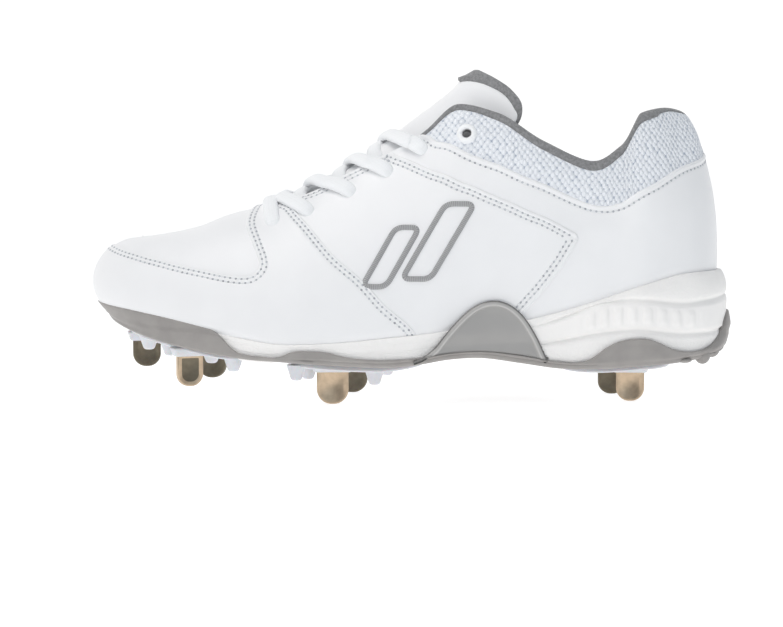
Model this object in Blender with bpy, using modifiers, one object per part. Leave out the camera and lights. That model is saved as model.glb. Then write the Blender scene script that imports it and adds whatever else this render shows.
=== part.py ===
"""Softball cleat, left shoe, standing on its metal spikes.

Metres, +Z up. The heel points to +X and the toe to -X; the outer (lateral) side of the foot is -Y.
The floor is z = 0 and the origin is under the middle of the shoe. Tables are in millimetres.

Every curved piece comes from one form, the last: ribs that rise from the feather line, where the
upper meets the footbed, to the edge line, which is the collar, the throat and the crest of the vamp.
"""

import math

import bmesh
import bpy
import numpy as np

MM = 0.001
CENTRE = (-0.37, -0.73)   # middle of the shoe in the tables' x and y, in millimetres

# Driving sizes, in millimetres
GAP = 0.3                 # clearance between pieces that touch
WALL = 2.0                # upper: leather, backing and lining
COLLAR_WALL = 5.0         # upper at the padded collar
PANEL = 0.9               # leather panels laid over the upper
PLATE = 2.0               # outsole plate under the foot
RAND = 1.6                # outsole wall up the side
SHIELD = 1.8              # arch shield
INSOLE = 4.0
STATION_STEPS = 2         # stations for each row of the last
RIB_STEPS = 7             # steps up each rib

# Half of the last: feather point, edge point, then the handles of the rib between them.
# rise and bulge lift and push the rib out at the feather; reach and drop do so at the edge.
LAST_COLUMNS = ("fx", "fy", "fz", "ex", "ey", "ez", "rise", "bulge", "reach", "drop")
HEEL_BACK = (132.2, 0.0, 27.0, 121.6, 0.0, 130.4, 30.0, 9.0, 16.0, 33.0)
LATERAL_ROWS = (
    (129.6, -12.5, 27.0, 119.6, -8.0, 131.2, 30.0, 9.0, 15.5, 33.0),       # heel back corner
    (122.5, -23.0, 27.0, 113.6, -15.0, 131.4, 30.0, 9.0, 14.0, 33.0),      # heel side
    (103.5, -31.0, 27.0, 102.0, -23.0, 126.0, 30.0, 8.0, 10.0, 32.0),      # counter
    (88.0, -32.5, 27.0, 92.0, -26.5, 109.5, 30.0, 7.0, 6.0, 28.0),         # behind the ankle
    (70.0, -33.0, 27.5, 80.0, -29.5, 104.0, 29.0, 6.0, 4.0, 28.0),         # ankle
    (48.0, -34.0, 28.0, 58.0, -30.0, 115.0, 30.0, 4.0, 6.0, 30.0),         # before the ankle
    (28.0, -36.5, 27.0, 38.0, -26.5, 128.0, 32.0, 3.0, 9.0, 28.0),         # collar front
    (12.0, -39.0, 25.5, 21.0, -21.5, 131.8, 32.0, 3.0, 11.0, 24.0),        # top eyelet
    (-4.0, -41.5, 24.0, 4.0, -17.0, 118.5, 30.0, 3.0, 11.0, 17.0),         # throat, upper
    (-25.0, -44.5, 22.5, -24.0, -13.5, 103.0, 28.0, 3.0, 12.0, 11.0),      # throat, middle
    (-46.0, -45.5, 22.0, -48.0, -11.0, 90.8, 27.0, 3.5, 16.0, 7.0),        # throat, lower
    (-69.0, -43.5, 22.8, -66.0, 0.0, 86.6, 26.0, 4.0, 26.0, 2.0),          # vamp point
    (-89.0, -38.5, 25.4, -80.5, 0.0, 82.2, 22.0, 5.0, 24.0, 1.0),          # toe joint
    (-107.0, -30.5, 28.9, -94.5, 0.5, 76.6, 18.0, 7.0, 22.0, 0.0),         # toe side
    (-122.0, -20.0, 33.0, -106.5, 1.0, 73.8, 14.0, 11.0, 21.0, 0.0),       # toe corner
    (-131.5, -8.5, 36.6, -115.0, 1.5, 72.6, 11.0, 15.0, 20.0, 0.0),        # toe front
)
TOE_TIP = (-135.2, 6.0, 39.0, -120.5, 2.0, 72.0, 10.0, 16.5, 20.0, -1.0)
MEDIAL_ROWS = (
    (-132.0, 20.5, 36.2, -115.0, 1.5, 72.6, 11.0, 15.0, 20.0, 0.0),        # toe front
    (-122.5, 30.5, 32.7, -106.5, 1.0, 73.8, 14.0, 11.0, 21.0, 0.0),        # toe corner
    (-107.5, 39.0, 28.6, -94.5, 0.5, 76.6, 18.0, 7.0, 22.0, 0.0),          # toe side
    (-89.0, 43.5, 25.2, -80.5, 0.0, 82.2, 22.0, 5.0, 24.0, 1.0),           # toe joint
    (-69.0, 44.5, 22.5, -66.0, 0.0, 86.6, 26.0, 4.0, 26.0, 2.0),           # vamp point
    (-46.0, 42.0, 22.0, -48.0, 11.0, 90.8, 27.0, 3.5, 16.0, 7.0),          # throat, lower
    (-25.0, 36.5, 22.5, -24.0, 13.5, 103.0, 28.0, 3.5, 12.0, 11.0),        # throat, middle
    (-4.0, 31.5, 24.5, 4.0, 17.0, 118.5, 30.0, 4.0, 11.0, 17.0),           # throat, upper
    (12.0, 29.0, 26.5, 21.0, 21.5, 132.0, 32.0, 5.0, 11.0, 24.0),          # top eyelet
    (28.0, 28.0, 28.0, 38.0, 26.0, 128.8, 32.0, 5.0, 9.0, 28.0),           # collar front
    (48.0, 28.5, 28.5, 58.0, 29.0, 117.5, 30.0, 5.0, 6.0, 30.0),           # before the ankle
    (70.0, 30.0, 27.5, 80.0, 29.0, 107.0, 29.0, 6.0, 4.0, 28.0),           # ankle
    (88.0, 31.0, 27.0, 92.0, 26.5, 111.5, 30.0, 7.0, 6.0, 28.0),           # behind the ankle
    (103.5, 30.0, 27.0, 102.0, 23.0, 126.0, 30.0, 8.0, 10.0, 32.0),        # counter
    (122.5, 22.5, 27.0, 113.6, 15.0, 131.4, 30.0, 9.0, 14.0, 33.0),        # heel side
    (129.6, 12.2, 27.0, 119.6, 8.0, 131.2, 30.0, 9.0, 15.5, 33.0),         # heel back corner
)

# Sole heights along the shoe: the outsole's underside, and the midsole's rim on the upper
SOLE_COLUMNS = ("x", "bottom", "rim")
SOLE_ROWS = (
    (-146.0, 50.0, 44.5),
    (-139.0, 40.0, 43.0),
    (-135.2, 36.2, 41.0),
    (-131.5, 34.2, 38.4),
    (-122.0, 30.7, 34.6),
    (-107.0, 26.8, 30.4),
    (-90.0, 22.8, 27.6),
    (-76.0, 20.4, 27.0),
    (-60.0, 18.4, 24.8),
    (-45.0, 17.2, 25.4),
    (-27.0, 16.2, 26.8),
    (-10.0, 16.2, 28.4),
    (3.5, 18.0, 29.7),
    (16.0, 20.0, 30.8),
    (30.0, 20.6, 32.2),
    (48.0, 18.2, 34.6),
    (65.0, 15.5, 38.0),
    (83.0, 15.0, 43.8),
    (100.0, 16.3, 49.6),
    (118.0, 18.2, 56.6),
    (130.0, 20.8, 59.0),
    (144.0, 28.0, 59.4),
)
# The two moulded lines of the heel, and how far the midsole stands out from the upper
HEEL_COLUMNS = ("x", "low_line", "high_line", "flare")
HEEL_ROWS = (
    (-135.2, 39.6, 40.4, 0.7),
    (-90.0, 26.5, 27.2, 1.2),
    (-60.0, 22.5, 23.6, 2.2),
    (0.0, 23.0, 26.5, 2.2),
    (48.0, 24.0, 31.0, 2.8),
    (65.0, 25.4, 35.8, 3.4),
    (83.0, 28.8, 42.0, 4.4),
    (100.0, 30.8, 45.0, 5.2),
    (118.0, 30.0, 43.4, 6.2),
    (132.2, 29.6, 45.4, 8.0),
)
HEEL_LINES_FROM = (40.0, 70.0)   # the moulded lines fade in over this stretch
HEEL_LINE_DEPTH = 1.1
RIM_OUT = 1.9                    # midsole's thickness at its rim
UNDER = (10.0, 3.5)              # rings under the foot, inside the feather line
LOBE = (-80.0, -56.0, 1.9)       # the midsole dips past the plate between these, by this much

# Side outlines, as x and z
OUTSOLE_TOP = (
    (-155.0, 47.5), (-141.0, 44.6), (-126.0, 41.0), (-105.0, 35.6), (-87.5, 31.2), (-82.0, 26.8),
    (-77.0, 23.2), (-68.0, 22.0), (-59.5, 21.4), (-56.0, 22.0), (-52.0, 24.0), (-45.0, 24.2),
    (-36.0, 22.2), (-27.0, 20.4), (-8.0, 19.6), (3.0, 21.0), (16.0, 22.7), (30.0, 23.2), (47.0, 21.0),
    (63.0, 18.2), (75.0, 18.0), (79.3, 19.5), (84.3, 23.4), (89.1, 26.1), (94.1, 27.6), (100.0, 28.1),
    (104.0, 27.9), (108.8, 26.4), (114.0, 24.4), (119.0, 23.4), (125.5, 23.2), (131.5, 24.4),
    (136.0, 27.0), (139.0, 31.0), (141.5, 38.0), (143.0, 41.0), (155.0, 42.0),
)
ARCH_SHIELD = (
    (-4.0, 19.8), (2.5, 22.5), (9.5, 27.5), (16.5, 35.0), (23.0, 41.0), (30.0, 43.6), (38.7, 44.0),
    (45.5, 41.4), (52.0, 35.0), (58.0, 26.0), (62.5, 16.5),
)
ARCH_SHIELD_FOOT = ((50.0, 18.8), (40.0, 20.4), (30.0, 21.2), (16.0, 20.8), (4.0, 19.0))
TOE_WRAP = (   # under the toe seam, back to the slanting seam
    (-150.0, 20.0), (-150.0, 66.5), (-130.0, 67.8), (-122.3, 63.4), (-103.8, 59.0), (-86.7, 55.4),
    (-74.0, 53.4), (-67.0, 54.6), (-64.2, 58.5), (-67.8, 69.1), (-71.3, 82.3), (-72.0, 95.0),
    (-62.0, 95.0), (-55.9, 83.6), (-50.6, 77.9), (-37.4, 62.5), (-24.2, 51.0), (-13.6, 39.6),
    (-1.8, 29.5), (-1.0, 20.0),
)
QUARTER = (   # from the throat and the slanting seam to a corner behind the arch
    (-60.0, 95.0), (-54.6, 84.4), (-49.4, 78.7), (-36.3, 63.4), (-23.1, 51.9), (-12.5, 40.5),
    (-0.6, 30.2), (0.0, 24.0), (41.0, 24.0), (44.4, 42.7), (60.7, 61.6), (71.5, 69.6), (73.0, 72.2),
    (69.5, 74.8), (47.5, 85.4), (25.1, 95.5), (-5.3, 106.5), (-9.0, 125.0),
)
COUNTER = (   # wraps the heel, below the collar seam
    (-3.6, 107.0), (25.8, 96.5), (48.2, 86.4), (70.4, 75.8), (74.3, 72.4), (72.6, 69.0), (61.6, 60.9),
    (45.5, 42.3), (42.2, 24.0), (150.0, 24.0), (150.0, 116.0), (128.9, 107.4), (105.6, 94.2),
    (91.5, 85.4), (85.8, 84.0), (77.4, 85.4), (55.4, 92.4), (25.0, 106.5), (4.8, 114.4), (0.5, 114.6),
)

# Tongue: crest line with half width, how far the edges curl back, which way, and thickness
TONGUE_COLUMNS = ("x", "z", "half", "curl", "lean", "thick")
TONGUE_ROWS = (
    (-78.0, 80.25, 11.0, 2.5, 64.0, 2.5),
    (-60.0, 82.4, 14.0, 4.0, 62.0, 3.0),
    (-44.0, 87.0, 16.0, 6.0, 60.0, 3.5),
    (-24.0, 98.0, 18.0, 8.5, 58.0, 4.0),
    (-8.0, 109.4, 19.5, 12.0, 54.0, 4.5),
    (5.0, 124.0, 21.0, 20.0, 46.0, 5.5),
    (14.0, 135.2, 21.5, 26.0, 37.0, 6.0),
    (20.5, 141.0, 21.5, 28.0, 30.0, 6.0),
    (25.0, 145.6, 20.0, 25.0, 24.0, 5.5),
    (27.5, 147.0, 16.0, 16.0, 22.0, 3.5),
)

# Eyelets on the upper, as row of the last and height along the rib; the top one is empty
LACE_EYELETS = ((11.4, 0.72), (11.0, 0.72), (10.1, 0.71), (9.45, 0.71), (8.8, 0.765))
TOP_EYELET = (7.8, 0.85)
EYELET_OUTER, EYELET_INNER, EYELET_HEIGHT = 4.2, 2.1, 1.4
LACE_WIDTH, LACE_THICKNESS = 6.6, 3.2

# Spikes: foot of each blade, its turn about Z, and width; z is the blade's lowest point
SPIKE_COLUMNS = ("name", "x", "y", "z", "turn", "width")
SPIKE_ROWS = (
    ("spike_toe", -120.0, 8.0, 13.4, 10.0, 12.5),
    ("spike_front_lateral", -98.6, -24.0, 7.2, 24.0, 13.0),
    ("spike_front_medial", -91.5, 30.0, 6.2, -18.0, 13.5),
    ("spike_ball_lateral", -35.0, -31.0, 0.0, 4.0, 14.0),
    ("spike_ball_medial", -27.0, 24.0, 0.0, -8.0, 14.0),
    ("spike_heel_lateral", 97.5, -17.0, 0.0, -6.0, 12.5),
    ("spike_heel_medial", 91.5, 17.0, 0.0, 6.0, 12.5),
)
SPIKE_THICKNESS = 2.6
SPIKE_TOE_RADIUS = 5.2

# Lug plates under the outsole: x, and the two edges in y
PLATE_DROP = 1.9                 # thickness of a lug plate
PLATE_CLEAR = 0.65               # lug plates hang this far under the outsole
FRONT_PLATE_ROWS = (
    (-127.0, -3.0, 16.0), (-118.0, -14.0, 25.0), (-107.0, -24.5, 32.0), (-95.0, -32.0, 36.5),
    (-83.0, -35.0, 38.0), (-73.0, -31.0, 36.0),
)
BALL_PLATE_ROWS = (
    (-56.0, -35.0, 34.0), (-46.0, -39.0, 36.0), (-33.0, -40.0, 34.0), (-20.0, -38.0, 31.0),
    (-8.0, -31.0, 27.0), (6.0, -18.0, 20.0),
)
HEEL_PLATE_ROWS = (
    (68.0, -12.0, 12.0), (78.0, -22.0, 21.0), (92.0, -26.0, 25.0), (106.0, -25.0, 24.0),
    (116.0, -17.0, 17.0),
)
# Moulded cones: x, y, height below the plate
FRONT_CONES = ((-118.0, -5.0, 5.0), (-108.0, -13.0, 5.0), (-89.5, -12.0, 4.5), (-79.0, -27.0, 5.5),
               (-79.0, 32.0, 5.5))
BALL_CONES = ((-51.0, -33.0, 6.0), (-46.0, -22.0, 6.0), (-16.5, -30.0, 6.0), (-50.0, 28.0, 6.0),
              (-11.0, 20.0, 6.0))
HEEL_CONES = ()
CONE_TOP_RADIUS, CONE_TIP_RADIUS = 4.4, 2.3
BOSS_MARGIN = 2.6                # boss round the foot of each spike
HEEL_LUGS = ((121.5, 13.0), (129.0, 10.5), (135.5, 7.0))   # x and half width of the grey heel lugs
HEEL_LUG_LENGTH, HEEL_LUG_DROP = 4.6, 2.6

# Colour, roughness and metallic value of each material
MATERIALS = {
    "white_leather": ((0.86, 0.87, 0.88), 0.45, 0.0),
    "white_mesh": ((0.80, 0.83, 0.86), 0.85, 0.0),
    "white_foam": ((0.86, 0.86, 0.86), 0.65, 0.0),
    "grey_rubber": ((0.27, 0.26, 0.26), 0.50, 0.0),
    "grey_shield": ((0.33, 0.32, 0.32), 0.30, 0.0),
    "white_plastic": ((0.83, 0.85, 0.89), 0.35, 0.0),
    "spike_steel": ((0.62, 0.52, 0.42), 0.32, 1.0),
    "white_cord": ((0.88, 0.89, 0.90), 0.75, 0.0),
    "grey_lining": ((0.30, 0.30, 0.31), 0.90, 0.0),
}


def named_columns(columns, rows):
    """A table as one array for each column name."""
    return dict(zip(columns, np.array(rows, float).T))


def ease(low, high, value):
    """Smooth step from 0 at low to 1 at high."""
    share = np.clip((np.asarray(value, float) - low) / (high - low), 0.0, 1.0)
    return share * share * (3.0 - 2.0 * share)


def hermite(start, end, start_slope, end_slope, share):
    """Cubic between two values with given slopes."""
    square, cube = share**2, share**3
    return (
        (2 * cube - 3 * square + 1) * start
        + (cube - 2 * square + share) * start_slope
        + (3 * square - 2 * cube) * end
        + (cube - square) * end_slope
    )


def ring_samples(column, steps, monotone):
    """A smooth closed run through one column, with so many samples for each row."""
    after = np.roll(column, -1) - column
    before = np.roll(after, 1)
    slope = (after + before) / 2
    if monotone:
        agree = after * before > 0
        slope = np.where(agree, 2 * after * before / np.where(agree, after + before, 1.0), 0.0)
    share = np.arange(steps) / steps
    run = hermite(
        column[:, None], np.roll(column, -1)[:, None],
        slope[:, None], np.roll(slope, -1)[:, None], share[None, :],
    )
    return run.reshape(-1)


def height_curve(xs, values):
    """A smooth function of x through a table's column."""
    slopes = np.gradient(values, xs)

    def at(x):
        x = np.clip(np.asarray(x, float), xs[0], xs[-1])
        left = np.clip(np.searchsorted(xs, x) - 1, 0, len(xs) - 2)
        span = xs[left + 1] - xs[left]
        return hermite(
            values[left], values[left + 1], slopes[left] * span, slopes[left + 1] * span,
            (x - xs[left]) / span,
        )

    return at


class Last:
    """The form of the foot inside the shoe: stations round it, each with a rib up the upper."""

    def __init__(self, steps):
        rows = (HEEL_BACK, *LATERAL_ROWS, TOE_TIP, *MEDIAL_ROWS)
        table = named_columns(LAST_COLUMNS, rows)
        edge = ("ex", "ey", "ez")
        at = {name: ring_samples(table[name], steps, name in edge) for name in LAST_COLUMNS}
        self.count = len(rows) * steps
        self.steps = steps
        self.feather = np.stack([at["fx"], at["fy"], at["fz"]], axis=1)
        self.edge = np.stack([at["ex"], at["ey"], at["ez"]], axis=1)
        along = np.roll(self.feather, -1, axis=0) - np.roll(self.feather, 1, axis=0)
        out = np.stack([along[:, 1], -along[:, 0], np.zeros(self.count)], axis=1)
        out /= np.linalg.norm(out, axis=1)[:, None]
        self.out = out if (out[0] @ (1, 0, 0)) > 0 else -out
        up = np.array([0.0, 0.0, 1.0])
        self.low_handle = self.feather + at["rise"][:, None] * up + at["bulge"][:, None] * self.out
        self.high_handle = self.edge + at["reach"][:, None] * self.out - at["drop"][:, None] * up

    def rib(self, share):
        """Every station's point at this share of its rib, from feather 0 to edge 1."""
        share = np.broadcast_to(np.asarray(share, float), (self.count,))[:, None]
        rest = 1.0 - share
        return (
            rest**3 * self.feather
            + 3 * rest**2 * share * self.low_handle
            + 3 * rest * share**2 * self.high_handle
            + share**3 * self.edge
        )

    def skin(self, height):
        """Every station's point on the upper at this height, or straight below its feather point."""
        height = np.broadcast_to(np.asarray(height, float), (self.count,))
        shares = np.linspace(0.0, 0.7, 57)
        ribs = np.stack([self.rib(share) for share in shares], axis=1)
        found = np.empty((self.count, 3))
        for station in range(self.count):
            climb = ribs[station, :, 2]
            for axis in range(3):
                found[station, axis] = np.interp(height[station], climb, ribs[station, :, axis])
        found[:, 2] = height
        return found

    def offset(self, height, distance):
        """Every station's point so far outside the upper at this height."""
        return self.skin(height) + self.out * np.broadcast_to(distance, (self.count,))[:, None]

    def spot(self, row, share):
        """Point, outward normal and throat direction on the upper, at a row and a share of its rib."""
        station = int(round(row * self.steps)) % self.count
        nearby = [self.rib(share)[(station + turn) % self.count] for turn in (-1, 1)]
        point = self.rib(share)[station]
        up_rib = self.rib(share + 0.02)[station] - self.rib(share - 0.02)[station]
        round_shoe = nearby[1] - nearby[0]
        normal = np.cross(round_shoe, up_rib)
        normal /= np.linalg.norm(normal)
        if normal @ self.out[station] < 0:
            normal = -normal
        return point, normal, up_rib / np.linalg.norm(up_rib)


LAST = Last(STATION_STEPS)
FINE_LAST = Last(20)
SOLE = named_columns(SOLE_COLUMNS, SOLE_ROWS)
HEEL = named_columns(HEEL_COLUMNS, HEEL_ROWS)
BOTTOM = height_curve(SOLE["x"], SOLE["bottom"])
RIM = height_curve(SOLE["x"], SOLE["rim"])
LOW_LINE = height_curve(HEEL["x"], HEEL["low_line"])
HIGH_LINE = height_curve(HEEL["x"], HEEL["high_line"])
FLARE = height_curve(HEEL["x"], HEEL["flare"])


# Blender helpers


def clear_scene():
    for obj in list(bpy.data.objects):
        bpy.data.objects.remove(obj)


def collection(name):
    made = bpy.data.collections.new(name)
    bpy.context.scene.collection.children.link(made)
    return made


def material(name):
    made = bpy.data.materials.get(name)
    if made is None:
        colour, roughness, metallic = MATERIALS[name]
        made = bpy.data.materials.new(name)
        made.use_nodes = True
        shader = made.node_tree.nodes["Principled BSDF"]
        shader.inputs["Base Color"].default_value = (*colour, 1.0)
        shader.inputs["Roughness"].default_value = roughness
        shader.inputs["Metallic"].default_value = metallic
    return made


def add_object(name, mesh, finish, group):
    """A named object with its material, shaded smooth apart from sharp edges."""
    obj = bpy.data.objects.new(name, mesh)
    bpy.data.collections[group].objects.link(obj)
    if finish:
        mesh.materials.append(material(finish))
        mesh.shade_smooth()
        mesh.set_sharp_from_angle(angle=math.radians(40))
    if group == CUTTERS:
        obj.hide_render = True
        obj.display_type = "WIRE"
    return obj


def finished_mesh(bm, name):
    """The bmesh as a mesh, in metres and over the shoe's origin."""
    bmesh.ops.translate(bm, vec=(-CENTRE[0], -CENTRE[1], 0.0), verts=bm.verts)
    bmesh.ops.scale(bm, vec=(MM, MM, MM), verts=bm.verts)
    mesh = bpy.data.meshes.new(name)
    bm.to_mesh(mesh)
    bm.free()
    return mesh


def mesh_from(bm, name):
    """The finished solid, with its faces pointing out."""
    bm.normal_update()
    bmesh.ops.recalc_face_normals(bm, faces=bm.faces)
    return finished_mesh(bm, name)


def add_boolean(obj, other, operation):
    modifier = obj.modifiers.new(other.name, "BOOLEAN")
    modifier.object = other
    modifier.operation = operation
    modifier.solver = "EXACT"


def merge_flat_faces(obj, degrees):
    """Joins the slivers that the cuts leave in nearly flat faces."""
    modifier = obj.modifiers.new("merge_flat_faces", "DECIMATE")
    modifier.decimate_type = "DISSOLVE"
    modifier.angle_limit = math.radians(degrees)


def ring_stack(name, rings):
    """A closed solid through rings of stations, closed below and above by strips across the shoe."""
    bm = bmesh.new()
    count = LAST.count
    loops = [[bm.verts.new(point) for point in ring] for ring in rings]
    for lower, upper in zip(loops, loops[1:]):
        for i in range(count):
            j = (i + 1) % count
            bm.faces.new((lower[i], lower[j], upper[j], upper[i]))
    for loop in (loops[0], loops[-1]):
        for i in range(count // 2):
            strip = dict.fromkeys((loop[i], loop[i + 1], loop[count - i - 1], loop[-i % count]))
            bm.faces.new(tuple(strip))
    bmesh.ops.triangulate(bm, faces=bm.faces, quad_method="FIXED", ngon_method="EAR_CLIP")
    return mesh_from(bm, name)


def side_prism(name, outline, y_low, y_high):
    """A side outline carried across the shoe from one y to another, as a cutter."""
    bm = bmesh.new()
    face = bm.faces.new([bm.verts.new((x, y_low, z)) for x, z in outline])
    moved = bmesh.ops.extrude_face_region(bm, geom=[face])
    verts = [item for item in moved["geom"] if isinstance(item, bmesh.types.BMVert)]
    bmesh.ops.translate(bm, vec=(0, y_high - y_low, 0), verts=verts)
    return add_object(name, mesh_from(bm, name), None, CUTTERS)


# Upper


def upper_surface(name, lift):
    """The outer face of the upper as an open sheet, lifted so far off it."""
    bm = bmesh.new()
    shares = np.linspace(0.0, 1.0, RIB_STEPS + 1)
    loops = [[bm.verts.new(point) for point in LAST.rib(share)] for share in shares]
    for lower, upper in zip(loops, loops[1:]):
        for i in range(LAST.count):
            j = (i + 1) % LAST.count
            bm.faces.new((lower[i], lower[j], upper[j], upper[i]))
    bmesh.ops.remove_doubles(bm, verts=bm.verts, dist=0.01)
    bmesh.ops.dissolve_degenerate(bm, edges=bm.edges, dist=0.001)
    bmesh.ops.triangulate(bm, faces=bm.faces, quad_method="FIXED", ngon_method="EAR_CLIP")
    bmesh.ops.recalc_face_normals(bm, faces=bm.faces)
    heel = min(bm.faces, key=lambda face: -face.calc_center_median().x)
    if heel.normal.x < 0:
        bmesh.ops.reverse_faces(bm, faces=bm.faces)
    bm.normal_update()
    lifted = [vert.co + vert.normal * lift for vert in bm.verts]
    for vert, point in zip(bm.verts, lifted):
        vert.co = point
    return finished_mesh(bm, name)


def add_solidify(obj, thickness, thin_share=None):
    shell = obj.modifiers.new("wall", "SOLIDIFY")
    shell.thickness = thickness * MM
    shell.offset = -1.0
    if thin_share is not None:
        shell.vertex_group = "padding"
        shell.thickness_vertex_group = thin_share


def make_upper():
    """One hollow wall, open at collar, throat and footbed, thicker where the collar is padded."""
    upper = add_object("upper", upper_surface("upper", 0.0), "white_mesh", PARTS)
    padding = upper.vertex_groups.new(name="padding")
    for vert in upper.data.vertices:
        x, _, z = vert.co / MM
        share = float(ease(22.0, 52.0, x) * ease(72.0, 98.0, z))
        padding.add([vert.index], share, "REPLACE")
    add_solidify(upper, COLLAR_WALL, WALL / COLLAR_WALL)
    for side, row in (("lateral", TOP_EYELET[0]), ("medial", -TOP_EYELET[0])):
        add_boolean(upper, eyelet_drill("upper_hole_" + side, row), "DIFFERENCE")
    return upper


def make_panel(name, outline, y_low, y_high, solids):
    """A leather panel: a thin shell over the upper, cut to its side outline and clear of the sole."""
    blank = add_object(name, upper_surface(name, GAP + PANEL), "white_leather", PARTS)
    add_solidify(blank, PANEL)
    add_boolean(blank, side_prism(name + "_outline", outline, y_low, y_high), "INTERSECT")
    for solid in solids:
        add_boolean(blank, solid, "DIFFERENCE")
    merge_flat_faces(blank, 1.5)


# Sole


def upper_form(name, grow):
    """The lower part of the upper as a filled block, for cutting the sole to it."""
    feather = LAST.feather + LAST.out * grow
    feather[:, 2] -= grow
    levels = (0.12, 0.24, 0.36, 0.48)
    return ring_stack(name, [feather, *(LAST.rib(share) + LAST.out * grow for share in levels)])


def midsole_profile():
    """Heights and distances outside the upper, ring by ring, of the midsole's side."""
    x = LAST.feather[:, 0]
    flare = FLARE(x)
    rim = np.maximum(RIM(x), LAST.feather[:, 2] + 1.0)
    base = np.minimum(BOTTOM(x - LAST.out[:, 0]) + PLATE + GAP, LAST.feather[:, 2] - 1.4)
    base = base - LOBE[2] * ease(LOBE[0], LOBE[0] + 6, x) * (1 - ease(LOBE[1] - 6, LOBE[1], x))
    corner = base + 0.9
    heel = ease(*HEEL_LINES_FROM, x)
    low = (1 - heel) * (corner + 0.35 * (rim - corner)) + heel * LOW_LINE(x)
    high = (1 - heel) * (corner + 0.75 * (rim - corner)) + heel * HIGH_LINE(x)
    step = 0.03 * (rim - corner)
    groove = HEEL_LINE_DEPTH * heel
    rim_out = np.minimum(RIM_OUT, flare)
    return [
        (base, flare - 1.6),
        (corner, flare - 0.3 * heel),
        (low - step, flare - 0.2 * heel),
        (low, flare - groove),
        (low + step, flare + 0.3 * heel),
        (high, 0.8 * flare + 0.2 * rim_out - groove),
        (high + step, 0.7 * flare + 0.3 * rim_out),
        (rim, rim_out - 0.3),
    ]


MIDSOLE_PROFILE = midsole_profile()


def cover(height):
    """How far out the midsole or, above its rim, the upper's panels stand at this height."""
    heights = np.stack([ring[0] for ring in MIDSOLE_PROFILE])
    outs = np.stack([ring[1] for ring in MIDSOLE_PROFILE])
    height = np.broadcast_to(height, (LAST.count,))
    found = [np.interp(height[i], heights[:, i], outs[:, i]) for i in range(LAST.count)]
    return np.where(height > heights[-1], 0.0, found)


def under_ring(distance, rise):
    """A ring under the foot, so far inside the feather line, at a height over the outsole's underside."""
    ring = LAST.feather - LAST.out * distance
    ring[:, 2] = BOTTOM(ring[:, 0]) + rise
    return ring


def midsole_form(name, grow):
    """The midsole as a filled block, grown all round for cutting its neighbours."""
    bottom = under_ring(UNDER[0], PLATE + GAP - grow)
    edge = under_ring(UNDER[1], PLATE + GAP - grow)
    sides = [LAST.offset(height, out + grow) for height, out in MIDSOLE_PROFILE]
    for ring in sides[:2]:
        ring[:, 2] -= grow
    sides[-1][:, 2] += grow
    edge[:, 2] = np.minimum(edge[:, 2], sides[0][:, 2] + 0.6 * PLATE)
    return ring_stack(name, [bottom, edge, *sides])


def outsole_form(name, grow):
    """Plate and side wall as a filled block, before its side outline is cut."""
    x = LAST.feather[:, 0]
    base = np.minimum(BOTTOM(x), LAST.feather[:, 2] - 2.6)
    tops = np.array(OUTSOLE_TOP)
    top = np.interp(LAST.skin(45.0)[:, 0] + 2 * LAST.out[:, 0], tops[:, 0], tops[:, 1]) + 1.5
    top = np.maximum(top, base + 6.0)
    sides = []
    for share in (0.0, 0.5, 1.0):
        height = base + 2.2 + share * (top - base - 2.2)
        sides.append(LAST.offset(height, np.maximum(cover(height), 0.4) + GAP + RAND + grow))
    heel = LAST.offset(base + 0.5, np.maximum(cover(base + 2.2), 0.4) - 0.6 + grow)
    heel[:, 2] -= grow
    return ring_stack(name, [under_ring(UNDER[0], -grow), under_ring(UNDER[1], -grow), heel, *sides])


def make_midsole():
    midsole = add_object("midsole", midsole_form("midsole", 0.0), "white_foam", PARTS)
    cavity = add_object("footbed_cavity", upper_form("footbed_cavity", GAP), None, CUTTERS)
    add_boolean(midsole, cavity, "DIFFERENCE")
    merge_flat_faces(midsole, 1.5)
    return midsole


def make_insole():
    low = LAST.feather - LAST.out * (WALL + 0.9)
    top = low.copy()
    top[:, 2] += INSOLE
    add_object("insole", ring_stack("insole", [low, top]), "grey_lining", PARTS)


def cut_to_outline(obj, raise_by):
    """Trims the outsole's wall to its side outline."""
    top = [(x, z + raise_by) for x, z in OUTSOLE_TOP]
    outline = [*top, (150.0, 0.0), (-150.0, 0.0)]
    add_boolean(obj, side_prism(obj.name + "_outline", outline, -80.0, 80.0), "INTERSECT")


def make_outsole(midsole_cut, upper_cut):
    """Grey plate with the toe rand, heel lip and lugs, cut to its side outline."""
    outsole = add_object("outsole", outsole_form("outsole", 0.0), "grey_rubber", PARTS)
    cut_to_outline(outsole, 0.0)
    for number, (x, half) in enumerate(HEEL_LUGS):
        bm = bmesh.new()
        bmesh.ops.create_cube(bm, size=1.0)
        height = HEEL_LUG_DROP + 1.6
        bmesh.ops.scale(bm, vec=(HEEL_LUG_LENGTH, 2 * half, height), verts=bm.verts)
        bmesh.ops.bevel(bm, geom=bm.edges[:], offset=1.1, segments=1, affect="EDGES", profile=0.5)
        centre = (x, 0.0, float(BOTTOM(x)) + 1.3 - height / 2)
        bmesh.ops.translate(bm, vec=centre, verts=bm.verts)
        name = f"heel_lug_{number}"
        add_boolean(outsole, add_object(name, mesh_from(bm, name), None, CUTTERS), "UNION")
    for cutter in (midsole_cut, upper_cut):
        add_boolean(outsole, cutter, "DIFFERENCE")
    merge_flat_faces(outsole, 1.5)


def smooth_outline(points, steps=3):
    """An open outline with a soft curve through its points."""
    table = np.array(points, float)
    shares = np.linspace(0, len(table) - 1, (len(table) - 1) * steps + 1)
    index = np.arange(len(table), dtype=float)
    return [(float(height_curve(index, table[:, 0])(s)), float(height_curve(index, table[:, 1])(s)))
            for s in shares]


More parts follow.
